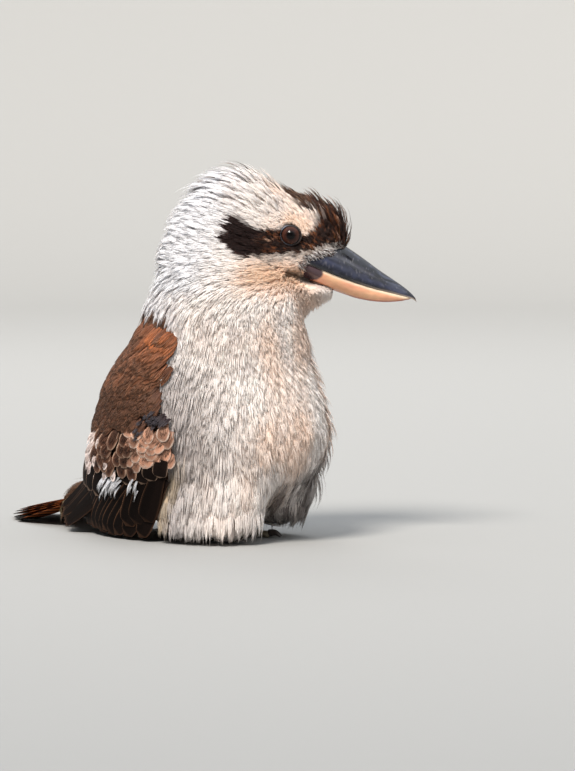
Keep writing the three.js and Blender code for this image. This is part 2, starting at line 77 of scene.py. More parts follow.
# The bill: place along the head, top edge, mouth line, lower edge, half width
BILL = np.array([
    [13, 5, -14, -22.5, 15.5], [20, 6, -14.3, -23.8, 15.6], [30, 5.4, -14.8, -24.6, 14.6],
    [38, 3.6, -15.2, -25, 13], [50, 0.2, -15.5, -25.1, 10], [60, -3, -15.3, -24, 7.8],
    [70, -5.7, -14.6, -21.6, 5.6], [80, -8.6, -13.9, -17.6, 3.3], [86, -11.1, -13.7, -14.7, 1.9],
    [90.5, -14, -14.9, -14.8, 0.5],
])
BILL_TOP, BILL_MOUTH, BILL_LOW, BILL_HALF = 1, 2, 3, 4
BILL_BASE = np.array([37.0, 0, -10])

THIGH = {"x": 13, "y": 41, "half_long": 41, "half_wide": 17, "top": 56}
THIGH_LOW = {"right": 2.5, "left": 8}
APRON_TOP = 61
WING_LENS = {"angle": 128, "half_angle": 46, "height": 88, "half_height": 52, "out": 7.5, "in": 6}
HANG_BELOW = 46
TAIL_ROOT = np.array([-84.0, 2, 27])
TAIL_SWING = math.radians(31)
SIDES = (("right", -1), ("left", 1))

# How deep the skin lies under the tips of the coat
COAT_DEPTH = 2.8
HEAD_DEPTH = 3.2
BILL_END_DEPTH = 0.8


def smoothstep(low, high, x):
    t = np.clip((np.asarray(x, float) - low) / (high - low), 0, 1)
    return t * t * (3 - 2 * t)


def mix(a, b, t):
    return np.asarray(a) + (np.asarray(b) - np.asarray(a)) * t


def unit(v):
    return v / np.maximum(np.linalg.norm(v, axis=-1, keepdims=True), 1e-9)


def dot(a, b):
    return np.sum(a * b, axis=-1, keepdims=True)


def turn_z(angle):
    c, s = math.cos(angle), math.sin(angle)
    return np.array([[c, -s, 0], [s, c, 0], [0, 0, 1]])


def turn_y(angle):
    c, s = math.cos(angle), math.sin(angle)
    return np.array([[c, 0, s], [0, 1, 0], [-s, 0, c]])


BODY_TURN = turn_z(-BODY_YAW)
HEAD_TURN = turn_y(HEAD_PITCH)


def from_body(p):
    return p @ BODY_TURN.T + BODY_AT


def to_body(p):
    return (p - BODY_AT) @ BODY_TURN


def from_head(p):
    return p @ HEAD_TURN.T + HEAD_AT


def to_head(p):
    return (p - HEAD_AT) @ HEAD_TURN


def round_angle(b):
    """Degrees from the front, on either side, at points in the body's frame."""
    return np.degrees(np.abs(np.arctan2(b[:, 1], b[:, 0])))


def middle_of(node):
    low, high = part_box(node)
    return np.array((low + high) / 2) * 1000


SHIFT = (middle_of("eye_right") + middle_of("eye_left")) / 2 - HEAD_AT


def to_world(p):
    return (p + SHIFT) / 1000


def along(rows, column, place):
    """The value of a column at places along the rows, on a smooth curve that never overshoots."""
    x, y = rows[:, 0], rows[:, column]
    steps = np.diff(y) / np.diff(x)
    p, q = steps[:-1], steps[1:]
    total = np.where(p * q > 0, p + q, 1)
    slopes = np.concatenate([steps[:1], np.where(p * q > 0, 2 * p * q / total, 0), steps[-1:]])
    i = np.clip(np.searchsorted(x, place) - 1, 0, len(x) - 2)
    span = x[i + 1] - x[i]
    t = np.clip((place - x[i]) / span, 0, 1)
    u = 1 - t
    ends = y[i] * u * u * (1 + 2 * t) + y[i + 1] * t * t * (3 - 2 * t)
    return ends + span * t * u * (slopes[i] * u - slopes[i + 1] * t)


def noise(p, size, seed=0):
    """Smooth noise from 0 to 1 at points, with lumps of about this size in millimetres."""
    q = p / size + 57.3 * (seed + 1)
    cell = np.floor(q).astype(np.int64)
    f = q - cell
    f = f * f * (3 - 2 * f)
    total = np.zeros(len(p))
    for corner in np.ndindex(2, 2, 2):
        at = cell + corner
        h = at[:, 0] * 374761393 + at[:, 1] * 668265263 + at[:, 2] * 2147483647 + seed * 974711
        h = (h ^ (h >> 13)) * 1274126177 & 0xFFFFFFFF
        value = ((h ^ (h >> 16)) & 0xFFFF) / 65535
        total += value * np.prod(np.where(corner, f, 1 - f), axis=1)
    return total


# Surfaces


def body_surface(angle, height, grow=0.0):
    """Angle 0 is the front and 90 degrees is the bird's left."""
    c, s = np.cos(angle), np.sin(angle)
    reach = np.where(c > 0, along(BODY, FRONT, height), along(BODY, BACK, height)) + grow
    side = (along(BODY, SIDE, height) + grow) * (1 + along(BODY, EGG, height) * c)
    return np.stack([along(BODY, LEAN, height) + reach * c, side * s, height + 0 * c], -1)


def head_surface(angle, place, grow=0.0):
    """Angle 0 is the crown and 90 degrees is the bird's left cheek."""
    c, s = np.cos(angle), np.sin(angle)
    high = along(HEAD, 2, place) + grow
    wide = (along(HEAD, 3, place) + grow) * (1 - 0.22 * np.maximum(0, -c) ** 2)
    across = np.sign(s) * np.abs(s) ** np.where(c > 0, 0.86, 1)
    return np.stack([place + 0 * c, wide * across, along(HEAD, 1, place) + high * c], -1)


def shell(angle, height, out):
    """The wing's layer, a little outside the body, which hangs straight down near the floor."""
    drop = np.maximum(0, HANG_BELOW - height)
    p = body_surface(angle, np.maximum(height, HANG_BELOW), out)
    p[..., 0] -= 0.12 * drop * np.maximum(0, -np.cos(angle))
    p[..., 1] -= np.sign(p[..., 1]) * 0.17 * drop * np.abs(np.sin(angle))
    p[..., 2] = height
    return p


def shell_normal(angle, height):
    round_ = shell(angle + 0.02, height, 0) - shell(angle - 0.02, height, 0)
    rise = shell(angle, height + 1, 0) - shell(angle, height - 1, 0)
    normal = unit(np.cross(round_, rise))
    outward = np.stack([np.cos(angle), np.sin(angle), 0 * angle], -1)
    return normal * np.where(dot(normal, outward) < 0, -1, 1)


def crowded(share, low, high):
    """Places from low to high that crowd towards both ends."""
    return mix(low, high, (share + (1 - np.cos(math.pi * share)) / 2) / 2)


def curve(a, b, c, t):
    """Points at t on the curve from a to c with the control point b."""
    return a * (1 - t) ** 2 + b * 2 * t * (1 - t) + c * t * t


def curve_way(a, b, c, t):
    return unit((b - a) * (1 - t) + (c - b) * t)


# Meshes


def grid_quads(rows, columns, round_rows=False, round_columns=False):
    """Quads over a grid of points, row by row, which may close on itself either way."""
    i, j = np.indices((rows - (not round_rows), columns - (not round_columns)))
    here, below, beside = i * columns, (i + 1) % rows * columns, (j + 1) % columns
    return np.stack([here + j, here + beside, below + beside, below + j], -1).reshape(-1, 4)


def lofted(rows, around, place):
    """A closed loft of place(share, angle), with a fan at each end to the mean of its ring."""
    share = (np.arange(rows) + 0.5)[:, None] / rows
    angle = np.arange(around)[None] / around * 2 * math.pi
    grid = place(share + 0 * angle, angle + 0 * share)
    low, high = place(np.zeros((1, around)), angle), place(np.ones((1, around)), angle)
    points = [low.mean((0, 1))[None], grid.reshape(-1, 3), high.mean((0, 1))[None]]
    j = np.arange(around)
    k = (j + 1) % around
    last = 1 + (rows - 1) * around
    fans = (0 * j, 1 + k, 1 + j), (0 * j + last + around, last + j, last + k)
    tris = np.concatenate([np.stack(fan, -1) for fan in fans])
    return np.concatenate(points), (1 + grid_quads(rows, around, round_columns=True), tris)


def joined(parts):
    """The points and polygons of several lofts as those of one mesh."""
    first = np.cumsum([0] + [len(points) for points, _ in parts])
    polygons = [np.concatenate([f[k] + n for (_, f), n in zip(parts, first)]) for k in range(2)]
    return np.concatenate([points for points, _ in parts]), polygons


def add_object(name, data):
    thing = bpy.data.objects.new(name, data)
    bpy.context.collection.objects.link(thing)
    return thing


def mesh_object(name, points, polygons, colour=None, uv=None):
    """An object from points in millimetres and arrays of triangles or quads."""
    mesh = bpy.data.meshes.new(name)
    mesh.vertices.add(len(points))
    mesh.vertices.foreach_set("co", to_world(points).astype(np.float32).ravel())
    corners = np.concatenate([p.ravel() for p in polygons]).astype(np.int32)
    sizes = np.concatenate([np.full(len(p), p.shape[1]) for p in polygons])
    mesh.loops.add(len(corners))
    mesh.loops.foreach_set("vertex_index", corners)
    mesh.polygons.add(len(sizes))
    starts = np.concatenate([[0], np.cumsum(sizes)[:-1]]).astype(np.int32)
    mesh.polygons.foreach_set("loop_start", starts)
    mesh.update(calc_edges=True)
    mesh.shade_smooth()
    if colour is not None:
        rgba = np.concatenate([colour, np.ones((len(colour), 1))], 1)
        layer = mesh.color_attributes.new("Colour", "FLOAT_COLOR", "POINT")
        layer.data.foreach_set("color", rgba.astype(np.float32).ravel())
        layer = mesh.uv_layers.new(name="OFBake")
        layer.data.foreach_set("uv", uv[corners].astype(np.float32).ravel())
    return add_object(name, mesh)


def finished(thing, material, slot, *nodes):
    thing.data.materials.append(material)
    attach(thing, "root")
    if nodes:
        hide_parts(*nodes)
    return thing


# Colours, in linear light


def srgb(r, g, b):
    v = np.array([r, g, b]) / 255
    return np.where(v <= 0.04045, v / 12.92, ((v + 0.055) / 1.055) ** 2.4)


WHITE = srgb(252, 248, 245)
BLUISH = srgb(232, 236, 246)
CREAM = srgb(248, 220, 200)
PEACH = srgb(240, 200, 165)
GREYISH = srgb(206, 194, 189)
DOWN_GREY = srgb(120, 110, 108)
BROWN = srgb(84, 54, 40)
BROWN_DARK = srgb(50, 29, 21)
BROWN_LIGHT = srgb(132, 94, 70)
RUFOUS = srgb(168, 94, 52)
EAR_DARK = srgb(30, 15, 12)
BUFF = srgb(226, 190, 164)
SLATE = srgb(54, 54, 66)
FLIGHT_DARK = srgb(15, 9, 7)
# the flank's buff, darkened as painted shade of the wing
SHADED_FLANK = srgb(172, 152, 124)


def new_material(name, roughness, specular, coat=0.0):
    material = bpy.data.materials.new(name)
    material.use_nodes = True
    bsdf = material.node_tree.nodes["Principled BSDF"]
    bsdf.inputs["Roughness"].default_value = roughness
    bsdf.inputs["Specular IOR Level"].default_value = specular
    bsdf.inputs["Coat Weight"].default_value = coat
    return material, bsdf


def mesh_material(name, finish, place, texture, tones, bump):
    """Takes its colour from the mesh, made lighter and darker by a texture that also gives the bump."""
    material, bsdf = new_material(name, *finish)
    link = material.node_tree.links.new

    def node(kind, **values):
        made = material.node_tree.nodes.new(kind)
        for key, value in values.items():
            socket = key.replace("_", " ")
            if socket in made.inputs:
                made.inputs[socket].default_value = value
            else:
                setattr(made, key, value)
        return made

    kind, output, settings = place
    pattern = node(texture[0], **texture[1])
    link(node(kind, **settings).outputs[output], pattern.inputs["Vector"])
    tone = node("ShaderNodeMapRange", To_Min=tones[0], To_Max=tones[1])
    link(pattern.outputs["Fac"], tone.inputs["Value"])
    varied = node("ShaderNodeVectorMath", operation="SCALE")
    link(node("ShaderNodeAttribute", attribute_name="Colour").outputs["Color"], varied.inputs[0])
    link(tone.outputs["Result"], varied.inputs["Scale"])
    link(varied.outputs["Vector"], bsdf.inputs["Base Color"])
    raised = node("ShaderNodeBump", Strength=bump[0], Distance=bump[1])
    link(pattern.outputs["Fac"], raised.inputs["Height"])
    link(raised.outputs["Normal"], bsdf.inputs["Normal"])
    return material, bsdf


def painted_material(name, roughness, specular, grain, depth, coat=0.0, glow=0.0):
    """Varied by noise of this grain, with a bump of this depth in metres."""
    place = "ShaderNodeTexCoord", "Object", {}
    texture = "ShaderNodeTexNoise", {"Scale": grain, "Detail": 3.0}
    made = mesh_material(name, (roughness, specular, coat), place, texture, (0.86, 1.12), (0.5, depth))
    material, bsdf = made
    bsdf.inputs["Subsurface Weight"].default_value = glow
    bsdf.inputs["Subsurface Radius"].default_value = (1.0, 0.8, 0.65)
    bsdf.inputs["Subsurface Scale"].default_value = 0.0012
    return material


def vane_material(name, roughness, specular):
    """Varied by fine barbs that run out from the shaft of each feather."""
    place = "ShaderNodeUVMap", "UV", {"uv_map": "Barbs"}
    texture = "ShaderNodeTexWave", {"Scale": 0.2, "Distortion": 3.5, "Detail": 3.0, "Detail_Scale": 1.5}
    return mesh_material(name, (roughness, specular), place, texture, (0.66, 1.28), (0.35, 0.0002))[0]


# Markings

STRIPE = np.array([  # the eye stripe, in the head's frame: place, lower edge, upper edge
    [-46, -14, -10], [-42, -18, -1], [-33, -22, 0.3], [-28, -22.5, -2.5], [-20, -21, -2],
    [-10, -17, 0.6], [0, -12.5, 5], [5, -9.5, 2.6], [9, -7.5, 3], [12, -6, 8], [14.6, -5, 14],
    [16.5, -3.5, 40], [21, 0, 41], [28, 4.5, 42], [38, 5, 42],
])
CROWN = np.array([  # the crown's brown band: place, half width
    [-64, 4], [-52, 5], [-46, 2], [-26, 2], [-19, 8],
    [-10, 12], [0, 15], [10, 15.5], [14.6, 17.5], [18, 24],
])
WING_FRONT = np.array([  # where the wing's plumage begins: height, angle from the front
    [0, 104], [16, 97], [31, 91], [43, 85], [56, 82.5], [66, 83], [76, 84], [88, 89.5], [97, 94.5],
    [107, 91], [112, 89], [118, 92], [125, 95], [132, 91], [139, 95], [142, 120], [145, 140],
])
THIGH_SHADE_LINE = ([38, 45, 64, 80], [6, 33, 42, 52])  # painted shade covers the left thigh below this line: place, height


def wing_front(z):
    return np.interp(z, *WING_FRONT.T)


def layered(colour, *layers):
    """A colour at each point under layers of others, each with its cover from 0 to 1."""
    for other, cover in layers:
        colour = colour + (other - colour) * np.clip(cover, 0, 1)[:, None]
    return colour


def region_weights(p):
    """How far each point belongs to each marking or patch of painted light and shade, from 0 to 1, on
    ragged borders.
    """
    (x, y, z), b, height = to_head(p).T, to_body(p), p[:, 2]
    ragged = (noise(p, 3.0, 1) - 0.5) * 4 + (noise(p, 1.3, 2) - 0.5) * 2.5
    on_head = smoothstep(-84, -74, x) * smoothstep(150, 160, height)
    low, high = along(STRIPE, 1, x), along(STRIPE, 2, x)
    stripe = smoothstep(low - 1.2, low + 1.2, z + ragged * 0.7)
    stripe = stripe * smoothstep(high + 1.2, high - 1.2, z + ragged * 0.6)
    stripe = stripe * smoothstep(-45, -42.5, x + ragged * 0.7) * on_head
    crown_half = np.interp(x, *CROWN.T)
    top = smoothstep(6, 12, z) * on_head
    below = smoothstep(low - 8, low - 2, z + ragged) * smoothstep(-16, -6, x)
    angle = round_angle(b)
    edge = wing_front(height)
    mantle = smoothstep(edge - 4, edge + 1, angle + ragged * 1.5)
    mantle = mantle * smoothstep(144, 140, height + ragged * 1.2)
    # height below the line of the left thigh's painted shade
    under = np.interp(p[:, 0], *THIGH_SHADE_LINE) - height
    return {
        "stripe": stripe,
        "ear": stripe * smoothstep(-15, -24, x + ragged),
        "crown": smoothstep(crown_half + 1.5, crown_half - 1.5, np.abs(y) + ragged) * top,
        "flecks": below * (1 - stripe) * on_head * smoothstep(high, low, z),
        "mantle": mantle,
        "nape": smoothstep(-30, -60, x) * on_head,
        # the flank in front of the wing's lower edge: buff, with painted shade of the wing
        "shaded_flank": smoothstep(edge - 17, edge - 10, angle) * smoothstep(50, 38, height) * (1 - mantle),
        # painted shade over the left thigh below the line, where the far side lies in shadow
        "thigh": smoothstep(-2, 7, under + ragged * 1.4) * smoothstep(-20, -10, b[:, 1]),
        # beside the wing: partly greyer feathers, partly painted shade of the wing
        "beside": smoothstep(edge - 52, edge - 10, angle) * smoothstep(120, 95, height) * (1 - mantle),
    }


def plumage_colour(p, speckle):
    """Colours of the coat at points of the skin, at the root and at the tip, varied by the speckle, with
    painted light and shade in places.
    """
    w, h, height = region_weights(p), to_head(p), p[:, 2]
    x, _, z = h.T
    each = speckle[:, None]
    broad, streak = noise(p * [1, 1, 0.5], 17, 3), noise(p * [1, 1, 0.3], 4.5, 4)
    on_head = smoothstep(150, 160, height)
    warm = smoothstep(0.35, 0.75, broad) * smoothstep(-10, 40, p[:, 0] + 0.12 * height)
    warm = warm * (1 - 0.3 * on_head)
    # painted bluish skylight on the white plumage, stronger towards the back
    painted_skylight = smoothstep(0, -35, p[:, 0]) * (1 - on_head)
    cheek = smoothstep(34, 12, np.abs(x)) * smoothstep(-12, -22, z) * on_head
    fold = smoothstep(13, 1, np.abs(z + 27 - 0.25 * x)) * smoothstep(-52, -22, x)
    # painted shade on the shelf of skin under the gape
    painted_lip_shade = smoothstep(-27.5, -25.5, z) * smoothstep(-21, -23, z) * smoothstep(10, 17, x)
    over_eye = smoothstep(7, 2, np.abs(z - 9)) * smoothstep(16, 4, np.abs(x - 1))
    # streaks through the left thigh's painted shade
    wisps = noise(p * [1, 1, 0.16], 2.2, 31)
    colour = layered(
        np.tile(WHITE, (len(p), 1)),
        (CREAM, 0.25 + warm * 0.65),
        (GREYISH, smoothstep(0.55, 0.9, streak) * 0.3),
        # painted bluish skylight towards the back
        (BLUISH, painted_skylight * 0.5),
        (CREAM, cheek * 0.8),
        (PEACH, fold * cheek * 0.8),
        # painted shade on the shelf under the gape
        (GREYISH * 0.6, painted_lip_shade * on_head * 0.85),
        (PEACH, over_eye * on_head * 0.45),
        # a whiter nape with a painted bluish cast of skylight
        (mix(WHITE, BLUISH, 0.5), w["nape"] * 0.9),
        # beside the wing: a greyer tint that is also painted shade of the wing
        (GREYISH * 0.76, w["beside"] * 0.9),
        # the flank's buff with painted shade of the wing
        (SHADED_FLANK, w["shaded_flank"] * 0.8),
        # painted shade over the left thigh, in grey-brown streaks
        (mix(srgb(60, 50, 46), DOWN_GREY, each), w["thigh"] * (0.15 + 0.7 * smoothstep(0.35, 0.55, wisps))),
    )
    flecked = mix(srgb(104, 80, 66), srgb(228, 218, 210), smoothstep(0.2, 0.7, each))
    streaked = mix(BROWN_DARK, BROWN_LIGHT, smoothstep(0.35, 0.95, each))
    streaked = layered(streaked, (srgb(226, 210, 196), (speckle > 0.86) * 0.9))
    fine = noise(h * [0.45, 1.6, 1.6], 1.1, 13)
    band = mix(BROWN_DARK * 0.5, RUFOUS * 0.8, (smoothstep(0.5, 0.9, fine) * 0.5)[:, None])
    band = layered(band, (BUFF, smoothstep(0.82, 0.93, fine) * smoothstep(4, 12, np.abs(x + 2)) * 0.4))
    back = mix(BROWN_DARK, BROWN_LIGHT, 0.2 + 0.5 * each)
    back = layered(back, (RUFOUS, smoothstep(120, 140, height) * (speckle > 0.6) * 0.6))
    deep = layered(np.ones((len(p), 3)), (np.array([1.0, 0.97, 0.95]), 1 - 0.6 * on_head))
    return [
        layered(
            colour * tint,
            (flecked * darker, w["flecks"] * 0.8),
            (BROWN_DARK, w["flecks"] * (smoothstep(0.62, 0.7, speckle) * 0.9)),
            (streaked * darker, w["crown"]),
            (band * darker, w["stripe"]),
            (EAR_DARK, w["ear"]),
            (back * darker, w["mantle"]),
        )
        for tint, darker in ((deep, 0.7), (1.03, 1.0))
    ]


# Skin


def ball(share, angle):
    """The three coordinates of a unit ball's points, from its lowest up."""
    polar = math.pi * share
    return np.sin(polar) * np.cos(angle), np.sin(polar) * np.sin(angle), -np.cos(polar)


def body_part(share, angle):
    return from_body(body_surface(angle, crowded(share, BODY[0, 0] + 2, BODY[-1, 0] - 2), -COAT_DEPTH))


def head_part(share, angle):
    place = crowded(share, HEAD[0, 0] + 2, HEAD[-1, 0] - 0.5)
    grow = -mix(HEAD_DEPTH, BILL_END_DEPTH, smoothstep(8, 34, place))
    return from_head(head_surface(angle, place, grow))


def tail_part(share, angle):
    x, y, z = ball(share, angle)
    taper = 1 + 0.25 * x
    p = np.stack([-12 - x * 31, z * 18 * taper, y * 9.5 * taper - 4 - x * 8], -1)
    return from_body(p @ turn_z(-TAIL_SWING).T + TAIL_ROOT)


def side_shells(side, sign):
    """The thigh, the feathers hanging before it and the wing of one side."""
    low, top = THIGH_LOW[side], THIGH["top"]

    def thigh(share, angle):
        x, z, y = ball(share, angle)
        skirt = 1 - 0.25 * np.maximum(0, y)
        reach, wide = THIGH["half_long"] - 5, THIGH["half_wide"] - 5
        height = (top + low) / 2 + np.sign(y) * np.abs(y) ** 0.9 * ((top - low) / 2 - 4)
        forward = THIGH["x"] + x * reach * skirt - y * 4
        across = sign * (THIGH["y"] - 4 * y) + z * wide * skirt
        return from_body(np.stack([forward, across, height], -1))

    def apron(share, angle):
        x, y, z = ball(share, angle)
        at = np.array([32, sign * 27, (low + 1 + APRON_TOP) / 2])
        return from_body(at + np.stack([x * 27, y * 22, z * (APRON_TOP - low - 1) / 2], -1))

    def wing(share, angle):
        x, y, z = ball(share, angle)
        height = WING_LENS["height"] + z * (WING_LENS["half_height"] - 3)
        at = np.radians(WING_LENS["angle"] + x * (WING_LENS["half_angle"] - 3) + z * 4)
        out = np.where(y > 0, y * (WING_LENS["out"] - 3), y * WING_LENS["in"] - 4)
        p = shell(at, height, 0 * out) + shell_normal(at, height) * (out - 1.0)[..., None]
        return from_body(p * [1, sign, 1])

    return [lofted(30, 40, thigh), lofted(30, 40, apron), lofted(40, 48, wing)]


def skin_rough():
    """The body, head, thighs, wings and root of the tail as separate closed shells in one mesh."""
    shells = [lofted(90, 96, body_part), lofted(70, 80, head_part)]
    for side, sign in SIDES:
        shells += side_shells(side, sign)
    return mesh_object("skin_rough", *joined([*shells, lofted(30, 40, tail_part)]))


VOXEL = 0.0016
RELAX_BY, RELAX_ROUNDS = 0.6, 14
CREASE_ROUNDS = 90
CHIN_LINE = (24, 38), (-39.5, -26.5)  # places along the head and the height of the chin's skin there
# The fold of the cheek, in the head's frame: place, height
CHEEK_FOLD = np.array([[18, -24], [8, -29], [-2, -33.5], [-16, -39], [-31, -43]])


def distance_to_line(points, line):
    """Distance of points from a polyline, in two dimensions."""
    best = np.full(len(points), 1e9)
    for a, b in zip(line[:-1], line[1:]):
        ab = b - a
        t = np.clip(((points - a) @ ab) / (ab @ ab), 0, 1)
        best = np.minimum(best, np.linalg.norm(points - a - t[:, None] * ab, axis=1))
    return best


def make_skin():
    """The points and quads of the skin, remeshed, smoothed and drawn in round the eyes and the bill."""
    rough = skin_rough()
    remesh = rough.modifiers.new("remesh", "REMESH")
    remesh.mode = "VOXEL"
    remesh.voxel_size = VOXEL
    relax = rough.modifiers.new("relax", "SMOOTH")
    relax.factor, relax.iterations = RELAX_BY, RELAX_ROUNDS
    evaluated = rough.evaluated_get(bpy.context.evaluated_depsgraph_get())
    mesh = bpy.data.meshes.new_from_object(evaluated)
    points = np.empty(len(mesh.vertices) * 3, np.float32)
    mesh.vertices.foreach_get("co", points)
    points = points.reshape(-1, 3).astype(float) * 1000 - SHIFT
    faces = np.empty(len(mesh.loops), np.int32)
    mesh.loops.foreach_get("vertex_index", faces)
    faces = faces.reshape(-1, 4)
    bpy.data.objects.remove(rough)
    bpy.data.meshes.remove(mesh)
    low_body = smoothstep(92, 70, points[:, 2]) * smoothstep(-62, -45, to_body(points)[:, 0])
    points = fill_creases(points, faces, low_body * 0.9, CREASE_ROUNDS)
    h = to_head(points)
    side = np.sign(h[:, 1])
    fold = distance_to_line(h[:, [0, 2]], CHEEK_FOLD)
    on_cheek = (np.abs(h[:, 1]) > 6) & (np.abs(h[:, 0]) < 60)
    h[:, 1] -= side * on_cheek * 1.6 * np.exp(-((fold / 2.2) ** 2))
    around_eye = np.hypot(h[:, 0], h[:, 2])
    sunk = smoothstep(LID_R + 1.6, LID_R - 1.0, around_eye) * (np.abs(h[:, 1]) > 8)
    h[:, 1] -= side * sunk * np.maximum(0, np.abs(h[:, 1]) - EYE_OUT + 1)
    under = smoothstep(66, 70, points[:, 0]) * smoothstep(-56, -50, h[:, 2])
    h[:, 2] = mix(h[:, 2], np.maximum(h[:, 2], np.interp(h[:, 0], *CHIN_LINE)), under)
    return from_head(clear_bill(h)), faces


# The edge of the feathers on the bill, in the head's frame: height, place
BILL_FEATHER_LINE = np.array([[-30, 26], [-24, 18.6], [-16.6, 14.8], [-11.3, 16.4], [3.3, 37.1]])
HORN_LOW = -23.7  # the horn is bare down to this height


def bill_width(x, z):
    """Half width of the horn at a place and height in the head's frame."""
    top, mouth = along(BILL, BILL_TOP, x), along(BILL, BILL_MOUTH, x)
    low, half = along(BILL, BILL_LOW, x), along(BILL, BILL_HALF, x)
    share = np.clip(np.where(z > mouth, (z - mouth) / (top - mouth), (mouth - z) / (mouth - low)), 0, 1)
    across = np.sqrt(1 - share ** (2 / 0.9))
    return half * across**1.12


def clear_bill(h):
    """Draws the skin in before the feather line, so that the horn shows, and slopes it up behind."""
    z = np.clip(h[:, 2], -24.2, 2.5)
    behind = 0.8 * (np.interp(z, *BILL_FEATHER_LINE.T) - h[:, 0])
    room = bill_width(np.maximum(h[:, 0], BILL[0, 0]), z) - 1.2
    slope = 0.62 + 0.7 * np.exp(-(((h[:, 2] + 18) / 5) ** 2))
    room = room + np.maximum(0, behind) * slope + 12 * smoothstep(3, 8, h[:, 2])
    room = room + 12 * smoothstep(-23.6, -26, h[:, 2])
    here = (h[:, 0] > 4) & (h[:, 2] > -27) & (h[:, 2] < 8)
    kept = np.where(here, np.minimum(np.abs(h[:, 1]), np.maximum(room, 0.5)), np.abs(h[:, 1]))
    h[:, 1] = np.sign(h[:, 1]) * kept
    return h


def summed(index, values, count):
    """The sum of the rows of values that belong to each index."""
    return np.stack([np.bincount(index, values[:, k], count) for k in range(3)], 1)


def smooth_normals(points, faces):
    """Normals at the points, and the area of each quad."""
    a, b, c, d = (points[faces[:, i]] for i in range(4))
    face_normals = np.cross(c - a, d - b)
    normals = summed(faces.ravel(), np.repeat(face_normals, 4, axis=0), len(points))
    return unit(normals), np.linalg.norm(face_normals, axis=1) / 2


def fill_creases(points, faces, amount, rounds):
    """Raises hollows towards the mean of their neighbours, and leaves swells as they are."""
    here, there = faces.ravel(), np.roll(faces, -1, axis=1).ravel()
    degree = np.bincount(here, minlength=len(points))[:, None]
    for _ in range(rounds):
        normals, _ = smooth_normals(points, faces)
        mean = summed(here, points[there], len(points)) / degree
        rise = dot(mean - points, normals)
        points = points + normals * np.where(rise > 0, rise, rise * 0.12) * amount[:, None]
    return points


skin_points, skin_faces = make_skin()
skin_normals, skin_areas = smooth_normals(skin_points, skin_faces)
skin_tree = BVHTree.FromPolygons(skin_points.tolist(), skin_faces.tolist())


def settle(points):
    """The nearest points of the skin, with its smooth normals there."""
    found = [skin_tree.find_nearest(p) for p in points.tolist()]
    places = np.array([f[0] for f in found])
    faces = np.array([f[2] for f in found])
    return places, unit(skin_normals[skin_faces[faces]].mean(1))


def unwrap(p):
    """A place on the unwrap of the skin's own shape: the head above, the body below."""
    h, b = to_head(p), to_body(p)
    head_angle = np.arctan2(h[:, 1], h[:, 2] + 14) / (2 * math.pi) + 0.5
    body_angle = np.arctan2(b[:, 1], -b[:, 0]) / (2 * math.pi) + 0.5
    head = (p[:, 2] > 158) | (p[:, 0] > 62) & (p[:, 2] > 146)
    u = np.where(head, head_angle, body_angle)
    v = np.where(head, 0.62 + 0.36 * (h[:, 0] + 76) / 116, 0.02 + 0.56 * p[:, 2] / 160)
    return np.stack([0.02 + 0.96 * u, np.clip(v, 0.01, 0.99)], 1)


# Lie of the coat

CHIN_WAY = np.array([0.47, 0, -0.88])  # in the head's frame
SPREAD_FROM = 18.0  # the breast's feathers part to either side of this place, seen from the front
BODY_LENGTH = ([10, 40, 80, 120, 150, 175], [26, 31, 30, 25, 19, 13])  # height, length of the feathers
COVERAGE = 7.2  # how many layers of locks lie over each place
FLOOR_CLEAR = 1.1
HEM_FROM = 34.0  # below this height the plumage hangs free instead of following the skin under


def at_chin(h):
    return smoothstep(12, 24, h[:, 0]) * smoothstep(-22, -27, h[:, 2]) * smoothstep(-52, -44, h[:, 2])


def flow(p, n):
    """The way the feathers lie at points of the skin, level with it."""
    h, b = to_head(p), to_body(p)
    away = unit(h - BILL_BASE)
    away = unit(mix(away, CHIN_WAY, at_chin(h)[:, None])) @ HEAD_TURN.T
    beside_wing = smoothstep(28, 6, wing_front(p[:, 2]) - round_angle(b)) * smoothstep(-20, 0, p[:, 2] - 30)
    sideways = 0.4 * (p[:, 0] - SPREAD_FROM) / 60 * (1 - 0.7 * beside_wing)
    down = unit(np.stack([sideways, 0 * sideways, -np.ones(len(p))], 1))
    on_head = smoothstep(138, 172, p[:, 2])[:, None]
    to_tail = unit(from_body(np.tile(TAIL_ROOT + [-30, 0, -8], (len(p), 1))) - p)
    rump = (smoothstep(-25, -60, b[:, 0]) * smoothstep(75, 40, p[:, 2]))[:, None]
    way = mix(mix(down, to_tail, rump), away, on_head)
    return unit(way - dot(way, n) * n)


def coat_sizes(p):
    """Length, lock width, lift and number of locks of the feathers, and how far they stand up."""
    h = to_head(p)
    x, y, z = h.T
    from_bill = np.linalg.norm(h - BILL_BASE, axis=1)
    from_eye = np.linalg.norm(h - np.stack([0 * x, EYE_OUT * np.sign(y), 0 * x], 1), axis=1)
    length = np.minimum(2.6 + 0.14 * from_bill, np.interp(p[:, 2], *BODY_LENGTH))
    forehead = smoothstep(6, 14, z) * smoothstep(0, 16, x)
    front = smoothstep(20, 32, x) * smoothstep(1, 6, z)
    length = length + 3.0 * forehead + 2.5 * front
    length = np.minimum(length, 1.6 + 0.42 * from_eye)
    raised = smoothstep(0, 12, z) * smoothstep(8, -22, x) * smoothstep(160, 175, p[:, 2])
    nape = smoothstep(-40, -62, x) * smoothstep(-60, -30, z)
    raised = np.maximum(raised, np.maximum(np.maximum(0.8 * forehead, front), 0.48 * nape))
    width = 0.24 + 0.021 * np.minimum(length, 16) + 0.004 * length
    lift = length * mix(0.18, 0.03, smoothstep(8, 20, length)) + 0.3
    locks = np.clip(np.round(3 + length * 0.42), 3, 12).astype(int)
    return length, width, lift, locks, raised


